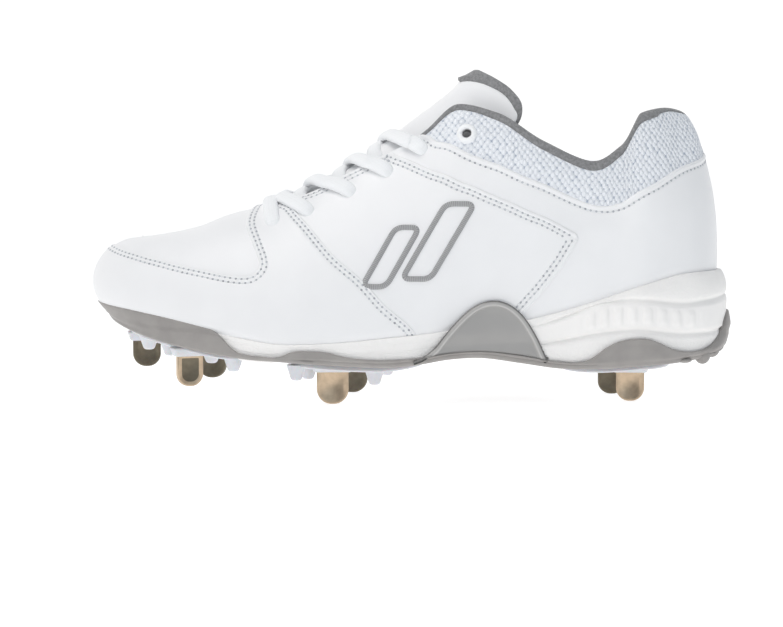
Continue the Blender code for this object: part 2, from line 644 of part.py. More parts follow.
def make_shields(cutters):
    """Glossy arch shields on both sides, humped over the midsole and flared at the foot."""
    for side, sign in (("lateral", -1), ("medial", 1)):
        rings = []
        for height in (12.0, 20.0, 27.0, 34.0, 47.0):
            flared = 1.3 * float(1 - ease(20.0, 28.0, height))
            seat = 2.6 - 1.3 * float(ease(28.0, 42.0, height))
            rings.append(LAST.offset(height, seat + GAP + SHIELD + flared))
        name = "arch_shield_" + side
        shield = add_object(name, ring_stack(name, rings), "grey_shield", PARTS)
        outline = [*smooth_outline(ARCH_SHIELD, 2), *ARCH_SHIELD_FOOT]
        prism = side_prism(name + "_outline", outline, *sorted((sign * 18.0, sign * 80.0)))
        add_boolean(shield, prism, "INTERSECT")
        for cutter in cutters:
            add_boolean(shield, cutter, "DIFFERENCE")
        merge_flat_faces(shield, 1.5)


# Lug plates and spikes


def boss_height(spike):
    """The foot of a spike's boss, clear of the plate along the whole blade."""
    reach = np.array([-0.6, 0.0, 0.6]) * spike["width"]
    return float(BOTTOM(spike["x"] + reach).min()) - PLATE_CLEAR - PLATE_DROP - 0.8


def spikes():
    return [dict(zip(SPIKE_COLUMNS, row)) for row in SPIKE_ROWS]


def blade_outline(width, height):
    """A round-toed blade with a small flat at its foot, from the foot up."""
    half, radius = width / 2, SPIKE_TOE_RADIUS
    turns = [math.radians(a) for a in range(0, 91, 30)]
    corner = [(half - radius + radius * math.sin(a), radius - radius * math.cos(a)) for a in turns]
    right = [*corner, (half, height)]
    return [*right, *[(-x, z) for x, z in reversed(right)]]


def turned_prism(outline, thickness, spike, lift):
    """An upright outline given a thickness, turned about Z and set at a spike's foot."""
    bm = bmesh.new()
    face = bm.faces.new([bm.verts.new((x, -thickness / 2, z)) for x, z in outline])
    moved = bmesh.ops.extrude_face_region(bm, geom=[face])
    verts = [item for item in moved["geom"] if isinstance(item, bmesh.types.BMVert)]
    bmesh.ops.translate(bm, vec=(0, thickness, 0), verts=verts)
    turn = math.radians(spike["turn"])
    for vert in bm.verts:
        x, y, z = vert.co
        vert.co = (
            spike["x"] + x * math.cos(turn) - y * math.sin(turn),
            spike["y"] + x * math.sin(turn) + y * math.cos(turn),
            z + lift,
        )
    return bm


def make_spikes():
    for spike in spikes():
        height = boss_height(spike) - GAP - spike["z"]
        outline = blade_outline(spike["width"], height)
        bm = turned_prism(outline, SPIKE_THICKNESS, spike, spike["z"])
        add_object(spike["name"], mesh_from(bm, spike["name"]), "spike_steel", PARTS)


def plate_mesh(name, rows):
    """A plate under the outsole, from edge to edge at each row, following its underside."""
    bm = bmesh.new()
    xs, lows, highs = np.array(rows, float).T
    low_edge, high_edge = height_curve(xs, lows), height_curve(xs, highs)
    loops = []
    for x in np.linspace(xs[0], xs[-1], 2 * len(xs) - 1):
        top = float(BOTTOM(x)) - PLATE_CLEAR
        low, high = float(low_edge(x)), float(high_edge(x))
        corners = [(low + 1.2, top), (low, top - PLATE_DROP), (high, top - PLATE_DROP), (high - 1.2, top)]
        loops.append([bm.verts.new((x, y, z)) for y, z in corners])
    for first, second in zip(loops, loops[1:]):
        for i in range(4):
            j = (i + 1) % 4
            bm.faces.new((first[i], first[j], second[j], second[i]))
    bm.faces.new(loops[0])
    bm.faces.new(loops[-1])
    return mesh_from(bm, name)


def make_lug_plate(name, rows, cones, spike_names):
    """A white plate with its moulded cones, and a boss over each of its spikes."""
    plate = add_object(name, plate_mesh(name, rows), "white_plastic", PARTS)
    for number, (x, y, drop) in enumerate(cones):
        bm = bmesh.new()
        top = float(BOTTOM(x)) - PLATE_CLEAR - 0.5 * PLATE_DROP
        depth = drop + 0.5 * PLATE_DROP
        bmesh.ops.create_cone(
            bm, cap_ends=True, segments=8, radius1=CONE_TIP_RADIUS, radius2=CONE_TOP_RADIUS, depth=depth
        )
        tip = [edge for edge in bm.edges if all(vert.co.z < 0 for vert in edge.verts)]
        bmesh.ops.bevel(bm, geom=tip, offset=1.0, segments=1, affect="EDGES", profile=0.5)
        bmesh.ops.translate(bm, vec=(x, y, top - depth / 2), verts=bm.verts)
        cone = f"{name}_cone_{number}"
        add_boolean(plate, add_object(cone, mesh_from(bm, cone), None, CUTTERS), "UNION")
    for spike in spikes():
        if spike["name"] not in spike_names:
            continue
        half = spike["width"] / 2 + BOSS_MARGIN
        foot = boss_height(spike)
        top = float(BOTTOM(spike["x"])) - PLATE_CLEAR - 0.6
        slope = 0.6 * abs(float(BOTTOM(spike["x"] + half) - BOTTOM(spike["x"] - half)))
        outline = [(-half + 1.4, 0.0), (half - 1.4, 0.0), (half, top - foot - slope),
                   (-half, top - foot - slope)]
        bm = turned_prism(outline, SPIKE_THICKNESS + 2 * BOSS_MARGIN, spike, foot)
        boss = spike["name"] + "_boss"
        add_boolean(plate, add_object(boss, mesh_from(bm, boss), None, CUTTERS), "UNION")


# Tongue, eyelets and laces


def make_tongue():
    """Padded tongue: a crest line with edges that curl back round the instep."""
    table = named_columns(TONGUE_COLUMNS, TONGUE_ROWS)
    index = np.arange(len(TONGUE_ROWS), dtype=float)
    column = {name: height_curve(index, table[name]) for name in TONGUE_COLUMNS}
    across = np.linspace(-1.0, 1.0, 9)
    bm = bmesh.new()
    loops = []
    for s in np.linspace(0.0, len(TONGUE_ROWS) - 1, 15):
        x, z, half, curl, lean, thick = (float(column[name](s)) for name in TONGUE_COLUMNS)
        back = np.array([math.cos(math.radians(lean)), 0.0, -math.sin(math.radians(lean))])
        front_face = [np.array([x, half * a, z]) + back * curl * abs(a) ** 1.8 for a in across]
        back_face = [
            point + back * thick * (0.45 + 0.55 * (1 - abs(a) ** 3)) + np.array([0, -a * 0.8, 0])
            for point, a in zip(front_face, across)
        ]
        loops.append([bm.verts.new(point) for point in [*front_face, *reversed(back_face)]])
    for first, second in zip(loops, loops[1:]):
        for i in range(len(first)):
            j = (i + 1) % len(first)
            bm.faces.new((first[i], first[j], second[j], second[i]))
    half_way = len(across)
    for loop in (loops[0], loops[-1]):
        for i in range(half_way - 1):
            bm.faces.new((loop[i], loop[i + 1], loop[-i - 2], loop[-i - 1]))
    add_object("tongue", mesh_from(bm, "tongue"), "white_leather", PARTS)


def placed(bm, point, normal):
    """Turns a shape's Z to a direction and moves it to a point."""
    normal = np.asarray(normal, float)
    side = np.cross(normal, (0.0, 0.0, 1.0))
    side /= np.linalg.norm(side)
    up = np.cross(normal, side)
    turn = np.stack([side, up, normal], axis=1)
    for vert in bm.verts:
        vert.co = turn @ np.array(vert.co) + point
    return bm


def eyelet_drill(name, row):
    """Cutter for the hole through the upper under a top eyelet."""
    point, normal, _ = FINE_LAST.spot(row, TOP_EYELET[1])
    bm = bmesh.new()
    bmesh.ops.create_cone(
        bm, cap_ends=True, segments=16, radius1=EYELET_INNER, radius2=EYELET_INNER, depth=20.0
    )
    return add_object(name, mesh_from(placed(bm, point, normal), name), None, CUTTERS)


def make_eyelet(name, row):
    """A turned ring on the mesh, its hole in line with the hole in the upper."""
    point, normal, _ = FINE_LAST.spot(row, TOP_EYELET[1])
    low, high = 0.6, 0.6 + EYELET_HEIGHT
    profile = [
        (EYELET_INNER, low), (EYELET_OUTER, low), (EYELET_OUTER - 0.8, high), (EYELET_INNER, high),
    ]
    bm = bmesh.new()
    verts = [bm.verts.new((radius, 0, z)) for radius, z in profile]
    edges = [bm.edges.new((a, b)) for a, b in zip(verts, [*verts[1:], verts[0]])]
    bmesh.ops.spin(
        bm, geom=[*verts, *edges], cent=(0, 0, 0), axis=(0, 0, 1), steps=12, angle=math.tau, use_merge=True
    )
    bmesh.ops.remove_doubles(bm, verts=bm.verts, dist=0.001)
    add_object(name, mesh_from(placed(bm, point, normal), name), "white_plastic", PARTS)


def normals_up(normal, lift):
    """A small step off the upper, so that one lace rides over the next."""
    return normal * (1.7 + 0.4 * lift)


def lace_bar(over, under, lift):
    """A flat lace from over one eyestay to the far edge of the throat, as a closed tube."""
    clear = GAP + PANEL + LACE_THICKNESS / 2 + 1.7
    slant = math.copysign(abs(under[0]), over[0]) - over[0]
    stops = [FINE_LAST.spot(over[0], over[1]),
             FINE_LAST.spot(over[0] + 0.2 * slant, 0.5 * (over[1] + 0.985)),
             FINE_LAST.spot(over[0] + 0.42 * slant, 0.985)]
    if under[0] == -over[0]:
        stops += [FINE_LAST.spot(under[0], 0.985), FINE_LAST.spot(under[0], 0.5 * (under[1] + 0.985)),
                  FINE_LAST.spot(*under)]
    else:
        stops += [FINE_LAST.spot(under[0], 0.96)]
    path = [point + normal * clear for point, normal, _ in stops]
    path[2] = path[2] + 1.3 * stops[2][1]
    if under[0] != -over[0]:
        path[-1] = path[-1] + normals_up(stops[-1][1], lift)
    normals = [normal for _, normal, _ in stops]
    crest = np.array([-0.45, 0.0, 0.89])
    path.insert(3, 0.5 * (path[2] + path[3]) + crest * (0.6 + lift))
    normals.insert(3, crest)
    turns = [math.radians(a) for a in (35, 145, 215, 325)]
    half_width, half_thickness = LACE_WIDTH / 2 / math.cos(turns[0]), LACE_THICKNESS / 2 / math.sin(turns[0])
    bm = bmesh.new()
    loops = []
    for i, point in enumerate(path):
        along = path[min(i + 1, len(path) - 1)] - path[max(i - 1, 0)]
        side = np.cross(along, normals[i])
        side /= np.linalg.norm(side)
        thick = np.cross(side, along)
        thick /= np.linalg.norm(thick)
        ring = [
            point + side * math.cos(a) * half_width + thick * math.sin(a) * half_thickness
            for a in turns
        ]
        loops.append([bm.verts.new(place) for place in ring])
    for first, second in zip(loops, loops[1:]):
        for i in range(len(turns)):
            j = (i + 1) % len(turns)
            bm.faces.new((first[i], first[j], second[j], second[i]))
    bm.faces.new(loops[0])
    bm.faces.new(loops[-1])
    return bm


def make_laces():
    """A bar at the vamp, then crossings up the throat, joined where they meet."""
    first = LACE_EYELETS[0]
    bars = [(first, (-first[0], first[1]), 0.0)]
    for number in range(1, len(LACE_EYELETS)):
        row, share = LACE_EYELETS[number]
        far_row, far_share = LACE_EYELETS[number - 1]
        nudge = -0.1 * (number - 1) ** 0.5
        bars += [
            ((row, share), (-far_row + nudge, far_share), 0.3 + 0.11 * number),
            ((-row, share), (far_row - nudge, far_share), 1.0 + 0.13 * number),
        ]
    lacing = None
    for number, bar in enumerate(bars):
        name = f"lace_bar_{number}" if lacing else "laces"
        mesh = mesh_from(lace_bar(*bar), name)
        if lacing:
            add_boolean(lacing, add_object(name, mesh, None, CUTTERS), "UNION")
        else:
            lacing = add_object(name, mesh, "white_cord", PARTS)


PARTS, CUTTERS = "softball_cleat", "cutters"


def main():
    clear_scene()
    collection(PARTS)
    collection(CUTTERS)
    midsole_cut = add_object("midsole_cut", midsole_form("midsole_cut", GAP), None, CUTTERS)
    upper_cut = add_object("upper_cut", upper_form("upper_cut", GAP), None, CUTTERS)
    panel_cut = add_object("panel_cut", upper_form("panel_cut", GAP + PANEL + GAP), None, CUTTERS)
    outsole_cut = add_object("outsole_cut", outsole_form("outsole_cut", GAP), None, CUTTERS)
    cut_to_outline(outsole_cut, GAP)
    make_upper()
    make_midsole()
    make_insole()
    make_outsole(midsole_cut, upper_cut)
    make_shields((midsole_cut, panel_cut, outsole_cut))
    sole_cuts = (midsole_cut, outsole_cut)
    make_panel("toe_wrap", TOE_WRAP, -80.0, 80.0, sole_cuts)
    make_panel("quarter_lateral", QUARTER, -80.0, -4.0, sole_cuts)
    make_panel("quarter_medial", QUARTER, 4.0, 80.0, sole_cuts)
    make_panel("heel_counter", COUNTER, -80.0, 80.0, sole_cuts)
    make_tongue()
    make_lug_plate("front_lug_plate", FRONT_PLATE_ROWS, FRONT_CONES,
                   ("spike_toe", "spike_front_lateral", "spike_front_medial"))
    make_lug_plate("ball_lug_plate", BALL_PLATE_ROWS, BALL_CONES, ("spike_ball_lateral", "spike_ball_medial"))
    make_lug_plate("heel_lug_plate", HEEL_PLATE_ROWS, HEEL_CONES, ("spike_heel_lateral", "spike_heel_medial"))
    make_spikes()
    for side, row in (("lateral", TOP_EYELET[0]), ("medial", -TOP_EYELET[0])):
        make_eyelet("top_eyelet_" + side, row)
    make_laces()


main()
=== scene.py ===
"""Softball cleat: the dressed left shoe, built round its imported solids.

Tables are in millimetres in the drawing's frame: toe at -X, heel at +X, outer side at -Y, floor at z = 0.
CENTRE moves them over the part's origin. Every soft piece follows one form, the last: ribs that rise from
the feather line to the edge line, counted by row round the shoe and by share up the rib.
"""

import math
from collections import namedtuple

import bmesh
import bpy
import numpy as np
from mathutils import Matrix, Vector


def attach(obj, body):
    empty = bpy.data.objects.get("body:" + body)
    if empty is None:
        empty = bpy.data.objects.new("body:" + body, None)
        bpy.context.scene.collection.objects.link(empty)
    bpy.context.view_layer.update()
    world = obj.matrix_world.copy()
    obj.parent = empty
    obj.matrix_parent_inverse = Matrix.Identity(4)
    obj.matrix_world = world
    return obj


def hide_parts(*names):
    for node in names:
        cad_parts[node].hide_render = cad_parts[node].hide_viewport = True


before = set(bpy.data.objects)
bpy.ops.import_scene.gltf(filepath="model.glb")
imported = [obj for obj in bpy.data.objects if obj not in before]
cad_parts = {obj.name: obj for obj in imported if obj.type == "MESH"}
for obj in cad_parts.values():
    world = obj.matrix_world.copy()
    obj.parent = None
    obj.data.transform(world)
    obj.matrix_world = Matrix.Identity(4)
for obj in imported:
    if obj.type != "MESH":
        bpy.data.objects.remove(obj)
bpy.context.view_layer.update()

bl_info = {
    "name": "Softball cleat",
    "version": (1, 0, 0),
    "blender": (4, 5, 0),
    "location": "View3D > Sidebar > Cleat",
    "description": "Dresses a softball cleat piece by piece",
    "category": "Add Mesh",
}

MM = 0.001
CENTRE = np.array([-0.37, -0.73, 0.0])

# The last: feather point, edge point, then the handles of the rib between them
LAST_COLUMNS = ("fx", "fy", "fz", "ex", "ey", "ez", "rise", "bulge", "reach", "drop")
HEEL_BACK = (132.2, 0.0, 27.0, 122.6, 0.0, 127.8, 30.0, 7.0, 17.4, 30.8)
LATERAL_ROWS = (
    (129.6, -12.5, 27.0, 120.6, -8.0, 129.2, 30.0, 7.4, 16.6, 31.2),       # 1 heel back corner
    (122.5, -23.0, 27.0, 113.6, -15.0, 130.6, 30.0, 9.0, 14.0, 33.0),      # 2 heel side
    (103.5, -31.0, 27.0, 102.0, -23.0, 128.2, 30.0, 8.0, 10.0, 32.0),      # 3 counter
    (88.0, -32.5, 27.0, 92.0, -26.5, 113.2, 30.0, 7.0, 6.0, 28.0),         # 4 behind the ankle
    (70.0, -33.0, 27.5, 80.0, -29.5, 106.8, 29.0, 6.0, 4.0, 28.0),         # 5 ankle
    (48.0, -34.0, 28.0, 58.0, -30.0, 115.9, 30.0, 4.0, 6.0, 30.0),         # 6 before the ankle
    (28.0, -36.5, 27.0, 38.0, -26.5, 128.0, 32.0, 3.0, 9.0, 28.0),         # 7 collar front
    (12.0, -39.0, 25.5, 21.0, -21.5, 131.8, 32.0, 3.0, 11.0, 24.0),        # 8 top eyelet
    (-4.0, -41.5, 24.0, 4.0, -17.0, 118.5, 30.0, 3.0, 11.0, 17.0),         # 9 throat, upper
    (-25.0, -44.5, 22.5, -24.0, -13.5, 103.0, 28.0, 3.0, 12.0, 11.0),      # 10 throat, middle
    (-46.0, -45.5, 22.0, -48.0, -11.0, 90.8, 27.0, 3.5, 16.0, 7.0),        # 11 throat, lower
    (-69.0, -43.5, 22.8, -66.0, 0.0, 85.8, 26.0, 4.0, 26.0, 2.0),          # 12 vamp point
    (-89.0, -38.5, 25.4, -80.5, 0.0, 82.2, 22.0, 5.0, 24.0, 1.0),          # 13 toe joint
    (-107.0, -30.5, 28.9, -94.5, 0.5, 76.6, 18.0, 7.0, 22.0, 0.0),         # 14 toe side
    (-122.0, -20.0, 33.0, -106.5, 1.0, 73.8, 14.0, 11.0, 21.0, 0.0),       # 15 toe corner
    (-131.5, -8.5, 36.6, -115.0, 1.5, 72.6, 11.0, 15.0, 20.0, 0.0),        # 16 toe front
)
TOE_TIP = (-135.2, 6.0, 39.0, -120.5, 2.0, 72.0, 10.0, 16.5, 20.0, -1.0)
MEDIAL_ROWS = (
    (-132.0, 20.5, 36.2, -115.0, 1.5, 72.6, 11.0, 15.0, 20.0, 0.0),
    (-122.5, 30.5, 32.7, -106.5, 1.0, 73.8, 14.0, 11.0, 21.0, 0.0),
    (-107.5, 39.0, 28.6, -94.5, 0.5, 76.6, 18.0, 7.0, 22.0, 0.0),
    (-89.0, 43.5, 25.2, -80.5, 0.0, 82.2, 22.0, 5.0, 24.0, 1.0),
    (-69.0, 44.5, 22.5, -66.0, 0.0, 85.8, 26.0, 4.0, 26.0, 2.0),
    (-46.0, 42.0, 22.0, -48.0, 11.0, 90.8, 27.0, 3.5, 16.0, 7.0),
    (-25.0, 36.5, 22.5, -24.0, 13.5, 103.0, 28.0, 3.5, 12.0, 11.0),
    (-4.0, 31.5, 24.5, 4.0, 17.0, 118.5, 30.0, 4.0, 11.0, 17.0),
    (12.0, 29.0, 26.5, 21.0, 21.5, 132.0, 32.0, 5.0, 11.0, 24.0),
    (28.0, 28.0, 28.0, 38.0, 26.0, 127.4, 32.0, 5.0, 9.0, 28.0),
    (48.0, 28.5, 28.5, 58.0, 29.0, 114.0, 30.0, 5.0, 6.0, 30.0),
    (70.0, 30.0, 27.5, 80.0, 29.0, 105.0, 29.0, 6.0, 4.0, 28.0),
    (88.0, 31.0, 27.0, 95.4, 26.5, 110.4, 30.0, 7.0, 6.0, 28.0),
    (103.5, 30.0, 27.0, 105.4, 23.0, 125.4, 30.0, 8.0, 10.0, 32.0),
    (122.5, 22.5, 27.0, 114.4, 15.0, 129.4, 30.0, 9.0, 14.0, 33.0),
    (129.6, 12.2, 27.0, 120.6, 8.0, 129.0, 30.0, 7.4, 16.6, 31.2),
)
LAST_ROW = 34.0
TOE_ROW = 17.0

# Sole heights along the shoe: outsole underside and midsole rim
SOLE_ROWS = (
    (-146.0, 50.0, 43.0), (-139.0, 40.0, 41.6), (-135.2, 36.2, 40.4), (-131.5, 34.2, 38.6),
    (-122.0, 30.7, 35.6), (-107.0, 27.2, 33.4), (-90.0, 23.6, 32.8), (-76.0, 21.6, 30.3),
    (-60.0, 19.8, 27.6), (-45.0, 18.6, 27.5), (-27.0, 17.4, 28.5), (-10.0, 16.8, 30.2),
    (3.5, 18.0, 31.4), (16.0, 20.0, 32.9), (30.0, 20.6, 34.4), (48.0, 18.2, 36.9),
    (65.0, 15.8, 41.2), (83.0, 15.6, 46.7), (100.0, 16.8, 52.4), (118.0, 18.2, 57.4),
    (130.0, 20.8, 58.2), (144.0, 28.0, 55.6),
)
# Moulded lines of the heel, and how far the midsole stands out from the upper
HEEL_ROWS = (
    (-135.2, 39.6, 40.4, 0.7), (-90.0, 26.5, 27.2, 1.2), (-60.0, 22.5, 23.6, 2.2), (0.0, 23.0, 26.5, 2.2),
    (48.0, 25.4, 34.8, 2.8), (65.0, 28.2, 38.4, 3.4), (83.0, 31.8, 44.8, 4.4), (100.0, 33.1, 46.0, 5.2),
    (118.0, 31.2, 44.3, 6.0), (132.2, 32.0, 46.6, 7.4),
)
# Upper edge of the outsole: heights along the shoe
OUTSOLE_TOP = (
    (-155.0, 45.5), (-141.0, 43.6), (-126.0, 41.4), (-107.0, 38.0), (-91.0, 34.3), (-87.3, 33.2),
    (-83.6, 30.2), (-80.0, 26.3), (-77.5, 24.3), (-72.5, 22.8), (-66.0, 22.2), (-60.3, 21.8),
    (-56.6, 22.6), (-54.3, 23.7), (-51.2, 24.6), (-45.7, 24.7), (-37.8, 24.2), (-29.8, 22.2),
    (-24.0, 21.3), (-8.0, 20.6), (3.0, 21.3), (16.0, 23.3), (30.0, 24.0), (47.0, 22.3),
    (63.0, 19.4), (75.0, 19.2), (79.3, 20.8), (84.3, 24.6), (89.1, 27.3), (94.1, 28.8),
    (100.0, 29.4), (104.0, 29.1), (108.8, 27.5), (114.0, 25.0), (119.0, 23.6), (125.5, 23.2),
    (131.5, 24.4), (136.0, 27.0), (139.0, 30.5), (141.5, 36.6), (143.0, 39.0), (155.0, 39.8),
)
# Upper edge of an arch shield
ARCH_SHIELD = (
    (0.5, 20.0), (4.5, 21.6), (9.7, 25.6), (14.7, 31.8), (19.8, 37.4), (24.8, 42.0), (29.9, 45.0),
    (34.9, 46.2), (40.0, 45.6), (45.0, 43.0), (50.0, 38.0), (55.1, 29.6), (59.6, 19.6),
)
GAP = 0.3                         # between pieces that meet
PLATE, RAND, SHIELD = 2.0, 1.6, 1.8
WALL, COLLAR_PAD, INSOLE = 2.0, 3.0, 4.0
HEEL_LINES_FROM = (40.0, 70.0)    # where the moulded lines of the heel begin and are whole
RIM_OUT, HEEL_RIM_OUT = 1.9, 1.1  # how far the midsole's rim stands out, and how much more at the heel
LOBE = (-80.0, -56.0, 1.9)        # start, end and depth of the lobe under the ball

# Edges of the leather panels on the outer side, as the camera sees them on the plane of the near side
TOE_WRAP_EDGE = (
    (-72.6, 77.4), (-70.0, 69.1), (-67.3, 61.6), (-68.0, 57.6), (-72.6, 55.0), (-82.3, 55.9), (-93.3, 58.1),
    (-101.6, 59.8), (-112.6, 62.5), (-121.4, 65.1), (-127.6, 67.5),
)
SLANT_EDGE = ((-53.2, 85.8), (-48.0, 80.1), (-34.8, 64.7), (-21.6, 53.2), (-11.0, 41.8), (0.9, 31.2))
QUARTER_TOP_EDGE = (
    (-5.3, 107.8), (3.0, 104.6), (11.2, 101.3), (19.4, 98.0), (27.7, 94.8), (37.6, 90.5), (47.5, 86.2),
    (59.0, 81.4), (68.6, 76.3), (72.6, 73.9),
)
QUARTER_BACK_EDGE = ((73.0, 71.4), (70.8, 67.4), (65.1, 58.3), (57.9, 49.0), (51.9, 42.4), (45.3, 33.9))
COLLAR_EDGE = (
    (128.5, 109.6), (118.4, 103.8), (103.0, 94.6), (93.7, 88.9), (88.0, 86.9), (82.7, 86.7), (76.1, 88.2),
    (66.0, 92.4), (56.3, 96.8), (40.9, 103.4), (23.1, 110.4), (12.3, 114.4),
)
# A plain pair of slanting bars in satin stitch
EMBLEM_BARS = (
    ((-22.0, 50.5), (-11.5, 50.5), (3.5, 76.5), (-7.0, 76.5)),
    ((-4.5, 54.0), (8.0, 54.0), (27.5, 87.0), (15.0, 87.0)),
)
# Soft folds: two ends, half width and depth; a depth below zero is a ridge
FOLDS = (
    (-64.0, 84.0, -50.0, 62.0, 5.5, 0.45),
    (-98.0, 66.0, -78.0, 60.0, 7.0, 0.35),
    (58.0, 86.0, 104.0, 84.0, 6.0, 0.7),
    (76.0, 76.0, 122.0, 90.0, 7.0, -0.5),
    (84.0, 66.0, 126.0, 72.0, 9.0, 0.5),
    (48.0, 60.0, 30.0, 80.0, 8.0, 0.3),
    (-30.0, 40.0, 18.0, 46.0, 8.0, 0.4),
)

# Tongue: crest line, half width, how far the edges curl back, which way, and thickness
TONGUE_COLUMNS = ("x", "z", "half", "curl", "lean", "thick")
TONGUE_ROWS = (
    (-78.0, 79.6, 11.0, 2.5, 64.0, 2.5),
    (-60.0, 83.6, 14.0, 4.5, 62.0, 3.0),
    (-44.0, 92.6, 16.0, 8.5, 60.0, 3.5),
    (-24.0, 106.2, 18.0, 12.0, 58.0, 4.0),
    (-10.0, 116.6, 19.3, 16.5, 52.0, 4.5),
    (0.0, 124.6, 20.5, 22.5, 43.0, 5.3),
    (9.0, 131.2, 21.2, 27.5, 34.0, 6.0),
    (16.5, 137.0, 21.5, 30.5, 26.0, 6.2),
    (21.8, 142.2, 20.6, 26.5, 22.0, 6.0),
    (25.4, 145.2, 17.4, 18.0, 21.0, 5.4),
    (27.4, 146.4, 12.6, 9.6, 21.0, 4.6),
    (28.4, 146.9, 6.0, 2.6, 21.0, 3.8),
    (28.8, 147.0, 0.6, 0.1, 21.0, 3.2),
)
# Front of the tongue's roll: share of its depth, place through the tongue, and swell at the middle
ROLL_LINES = ((1.0, 0.05, 0.0), (0.94, -0.06, 0.12), (0.8, -0.13, 0.24), (0.5, -0.16, 0.0))
# Laces: rows and shares of the eyelets where they come out, rows where they pass the eyestay's edge,
# and x and z of their highest points over the tongue
LACE_EYELETS = ((11.637, 0.725), (10.86, 0.785), (10.098, 0.806), (9.517, 0.835), (8.939, 0.874))
LACE_ROWS = (11.78, 11.45, 10.53, 9.83, 9.22)
LACE_CRESTS = ((-64.0, 88.4), (-57.4, 91.6), (-43.8, 98.8), (-25.9, 108.3), (-10.1, 118.8))
# First stops of a lace: share of the way from its eyelet to the eyestay's edge, and height over the form
LACE_CLIMB = ((-0.05, -2.4), (0.02, 0.4), (0.16, 2.4))
EYESTAY_EDGE, LACE_UNDER = 0.985, -4.2
CREST = np.array([-0.45, 0.0, 0.89])      # which way the lace's face looks over the tongue
# Lining that shows on the outer face of the collar, by row; below zero the mesh climbs over the top
LINING_SHOWN = (
    (0.0, -0.3), (1.0, -0.5), (2.0, -0.7), (2.7, 0.4), (3.4, 0.9), (4.4, 0.7), (7.0, 0.8), (8.2, 0.8),
    (9.0, 0.1),
)
# Top eyelet: row and share of its centre, and its section by radius and height
TOP_EYELET = (7.8, 0.85)
EYELET_HOLE, EYELET_LIFT = 2.7, 0.5
EYELET_SECTION = (
    (2.1, -1.2), (2.05, 0.9), (2.2, 1.6), (2.6, 2.1), (3.2, 2.25), (3.8, 2.0), (4.3, 1.4), (4.5, 0.6),
    (4.5, -0.6),
)

# Spikes: place of each blade's foot, its turn about Z in degrees, its width, and its finish;
# the dark finish is painted shade, a darker copy of the same steel for blades in shade, and stamped ones have
# a face painted in shade inside a bright rim
Spike = namedtuple("Spike", ("name", "x", "y", "foot", "turn", "width", "finish"))
SPIKE_ROWS = (
    ("spike_toe", -120.0, 8.0, 13.4, 10.0, 12.5, "dark"),
    ("spike_front_lateral", -98.6, -24.0, 7.2, 24.0, 12.0, "stamped"),
    ("spike_front_medial", -91.5, 30.0, 6.2, -18.0, 13.5, "dark"),
    ("spike_ball_lateral", -35.0, -31.0, 0.0, 4.0, 14.0, "bright"),
    ("spike_ball_medial", -27.0, 24.0, 0.0, -8.0, 14.0, "dark"),
    ("spike_heel_lateral", 97.5, -17.0, 0.0, -6.0, 12.5, "bright"),
    ("spike_heel_medial", 91.5, 17.0, 0.0, 6.0, 12.5, "dark"),
)
SPIKES = [Spike(*row) for row in SPIKE_ROWS]
SPIKE_THICKNESS, SPIKE_TOE_SHARE = 2.6, 0.92
# Lug plates: edges along x, then places and depths of the cones, then the spikes that each one holds
PLATE_DROP, PLATE_CLEAR, BOSS_MARGIN = 1.9, 0.65, 2.6
PLATES = {
    "front_lug_plate": (
        ((-127.0, -3.0, 16.0), (-118.0, -14.0, 25.0), (-107.0, -24.5, 32.0), (-95.0, -32.0, 36.5),
         (-83.0, -35.0, 38.0), (-73.0, -31.0, 36.0)),
        ((-118.0, -5.0, 5.0), (-108.0, -13.0, 5.0), (-89.5, -12.0, 4.5), (-79.0, -27.0, 5.5),
         (-79.0, 32.0, 5.5)),
        ("spike_toe", "spike_front_lateral", "spike_front_medial"),
    ),
    "ball_lug_plate": (
        ((-56.0, -35.0, 34.0), (-46.0, -39.0, 36.0), (-33.0, -40.0, 34.0), (-20.0, -38.0, 31.0),
         (-8.0, -31.0, 27.0), (6.0, -18.0, 20.0)),
        ((-51.0, -33.0, 6.0), (-46.0, -22.0, 6.0), (-16.5, -30.0, 6.0), (-50.0, 28.0, 6.0),
         (-11.0, 20.0, 6.0)),
        ("spike_ball_lateral", "spike_ball_medial"),
    ),
    "heel_lug_plate": (
        ((68.0, -12.0, 12.0), (78.0, -22.0, 21.0), (92.0, -26.0, 25.0), (106.0, -25.0, 24.0),
         (116.0, -17.0, 17.0)),
        (),
        ("spike_heel_lateral", "spike_heel_medial"),
    ),
}
CONE_TOP_RADIUS, CONE_TIP_RADIUS = 4.4, 2.3
HEEL_LUGS = ((2.25, 17.9), (1.72, 17.0), (1.15, 19.4))      # row and height of the foot of each
HEEL_LUG_SIZE = (6.4, 7.6)
SIDES = (("lateral", 1.0), ("medial", -1.0))

# Photograph's camera, in the drawing's frame
TARGET = np.array([-9.0, -35.0, 38.94])
DISTANCE, ELEVATION = 1400.0, math.radians(4.0)
EYE = TARGET + DISTANCE * np.array([0.0, -math.cos(ELEVATION), math.sin(ELEVATION)])
FRAME_WIDTH = 344.5               # millimetres across the photograph at the target
VIEW_DROP = 1.3                   # the photograph's frame sits this much higher, in millimetres
SENSOR = 36.0                     # width of the camera's sensor in millimetres
# Lamps: name, place, size, power and colour
WARM, COOL = (1.0, 0.965, 0.935), (0.78, 0.9, 1.0)
LAMPS = (
    ("key_light", (-170.0, -520.0, 600.0), 420.0, 0.9, WARM),
    ("fill_light", (420.0, -1000.0, 420.0), 900.0, 1.0, COOL),
    ("top_light", (-340.0, -260.0, 900.0), 500.0, 2.5, WARM),
)
LAMP_AIM = (0.0, 0.0, 60.0)
FLOOR_HALF, FLOOR_GLOW = 6.0, 0.74        # metres, and how far the floor lights itself


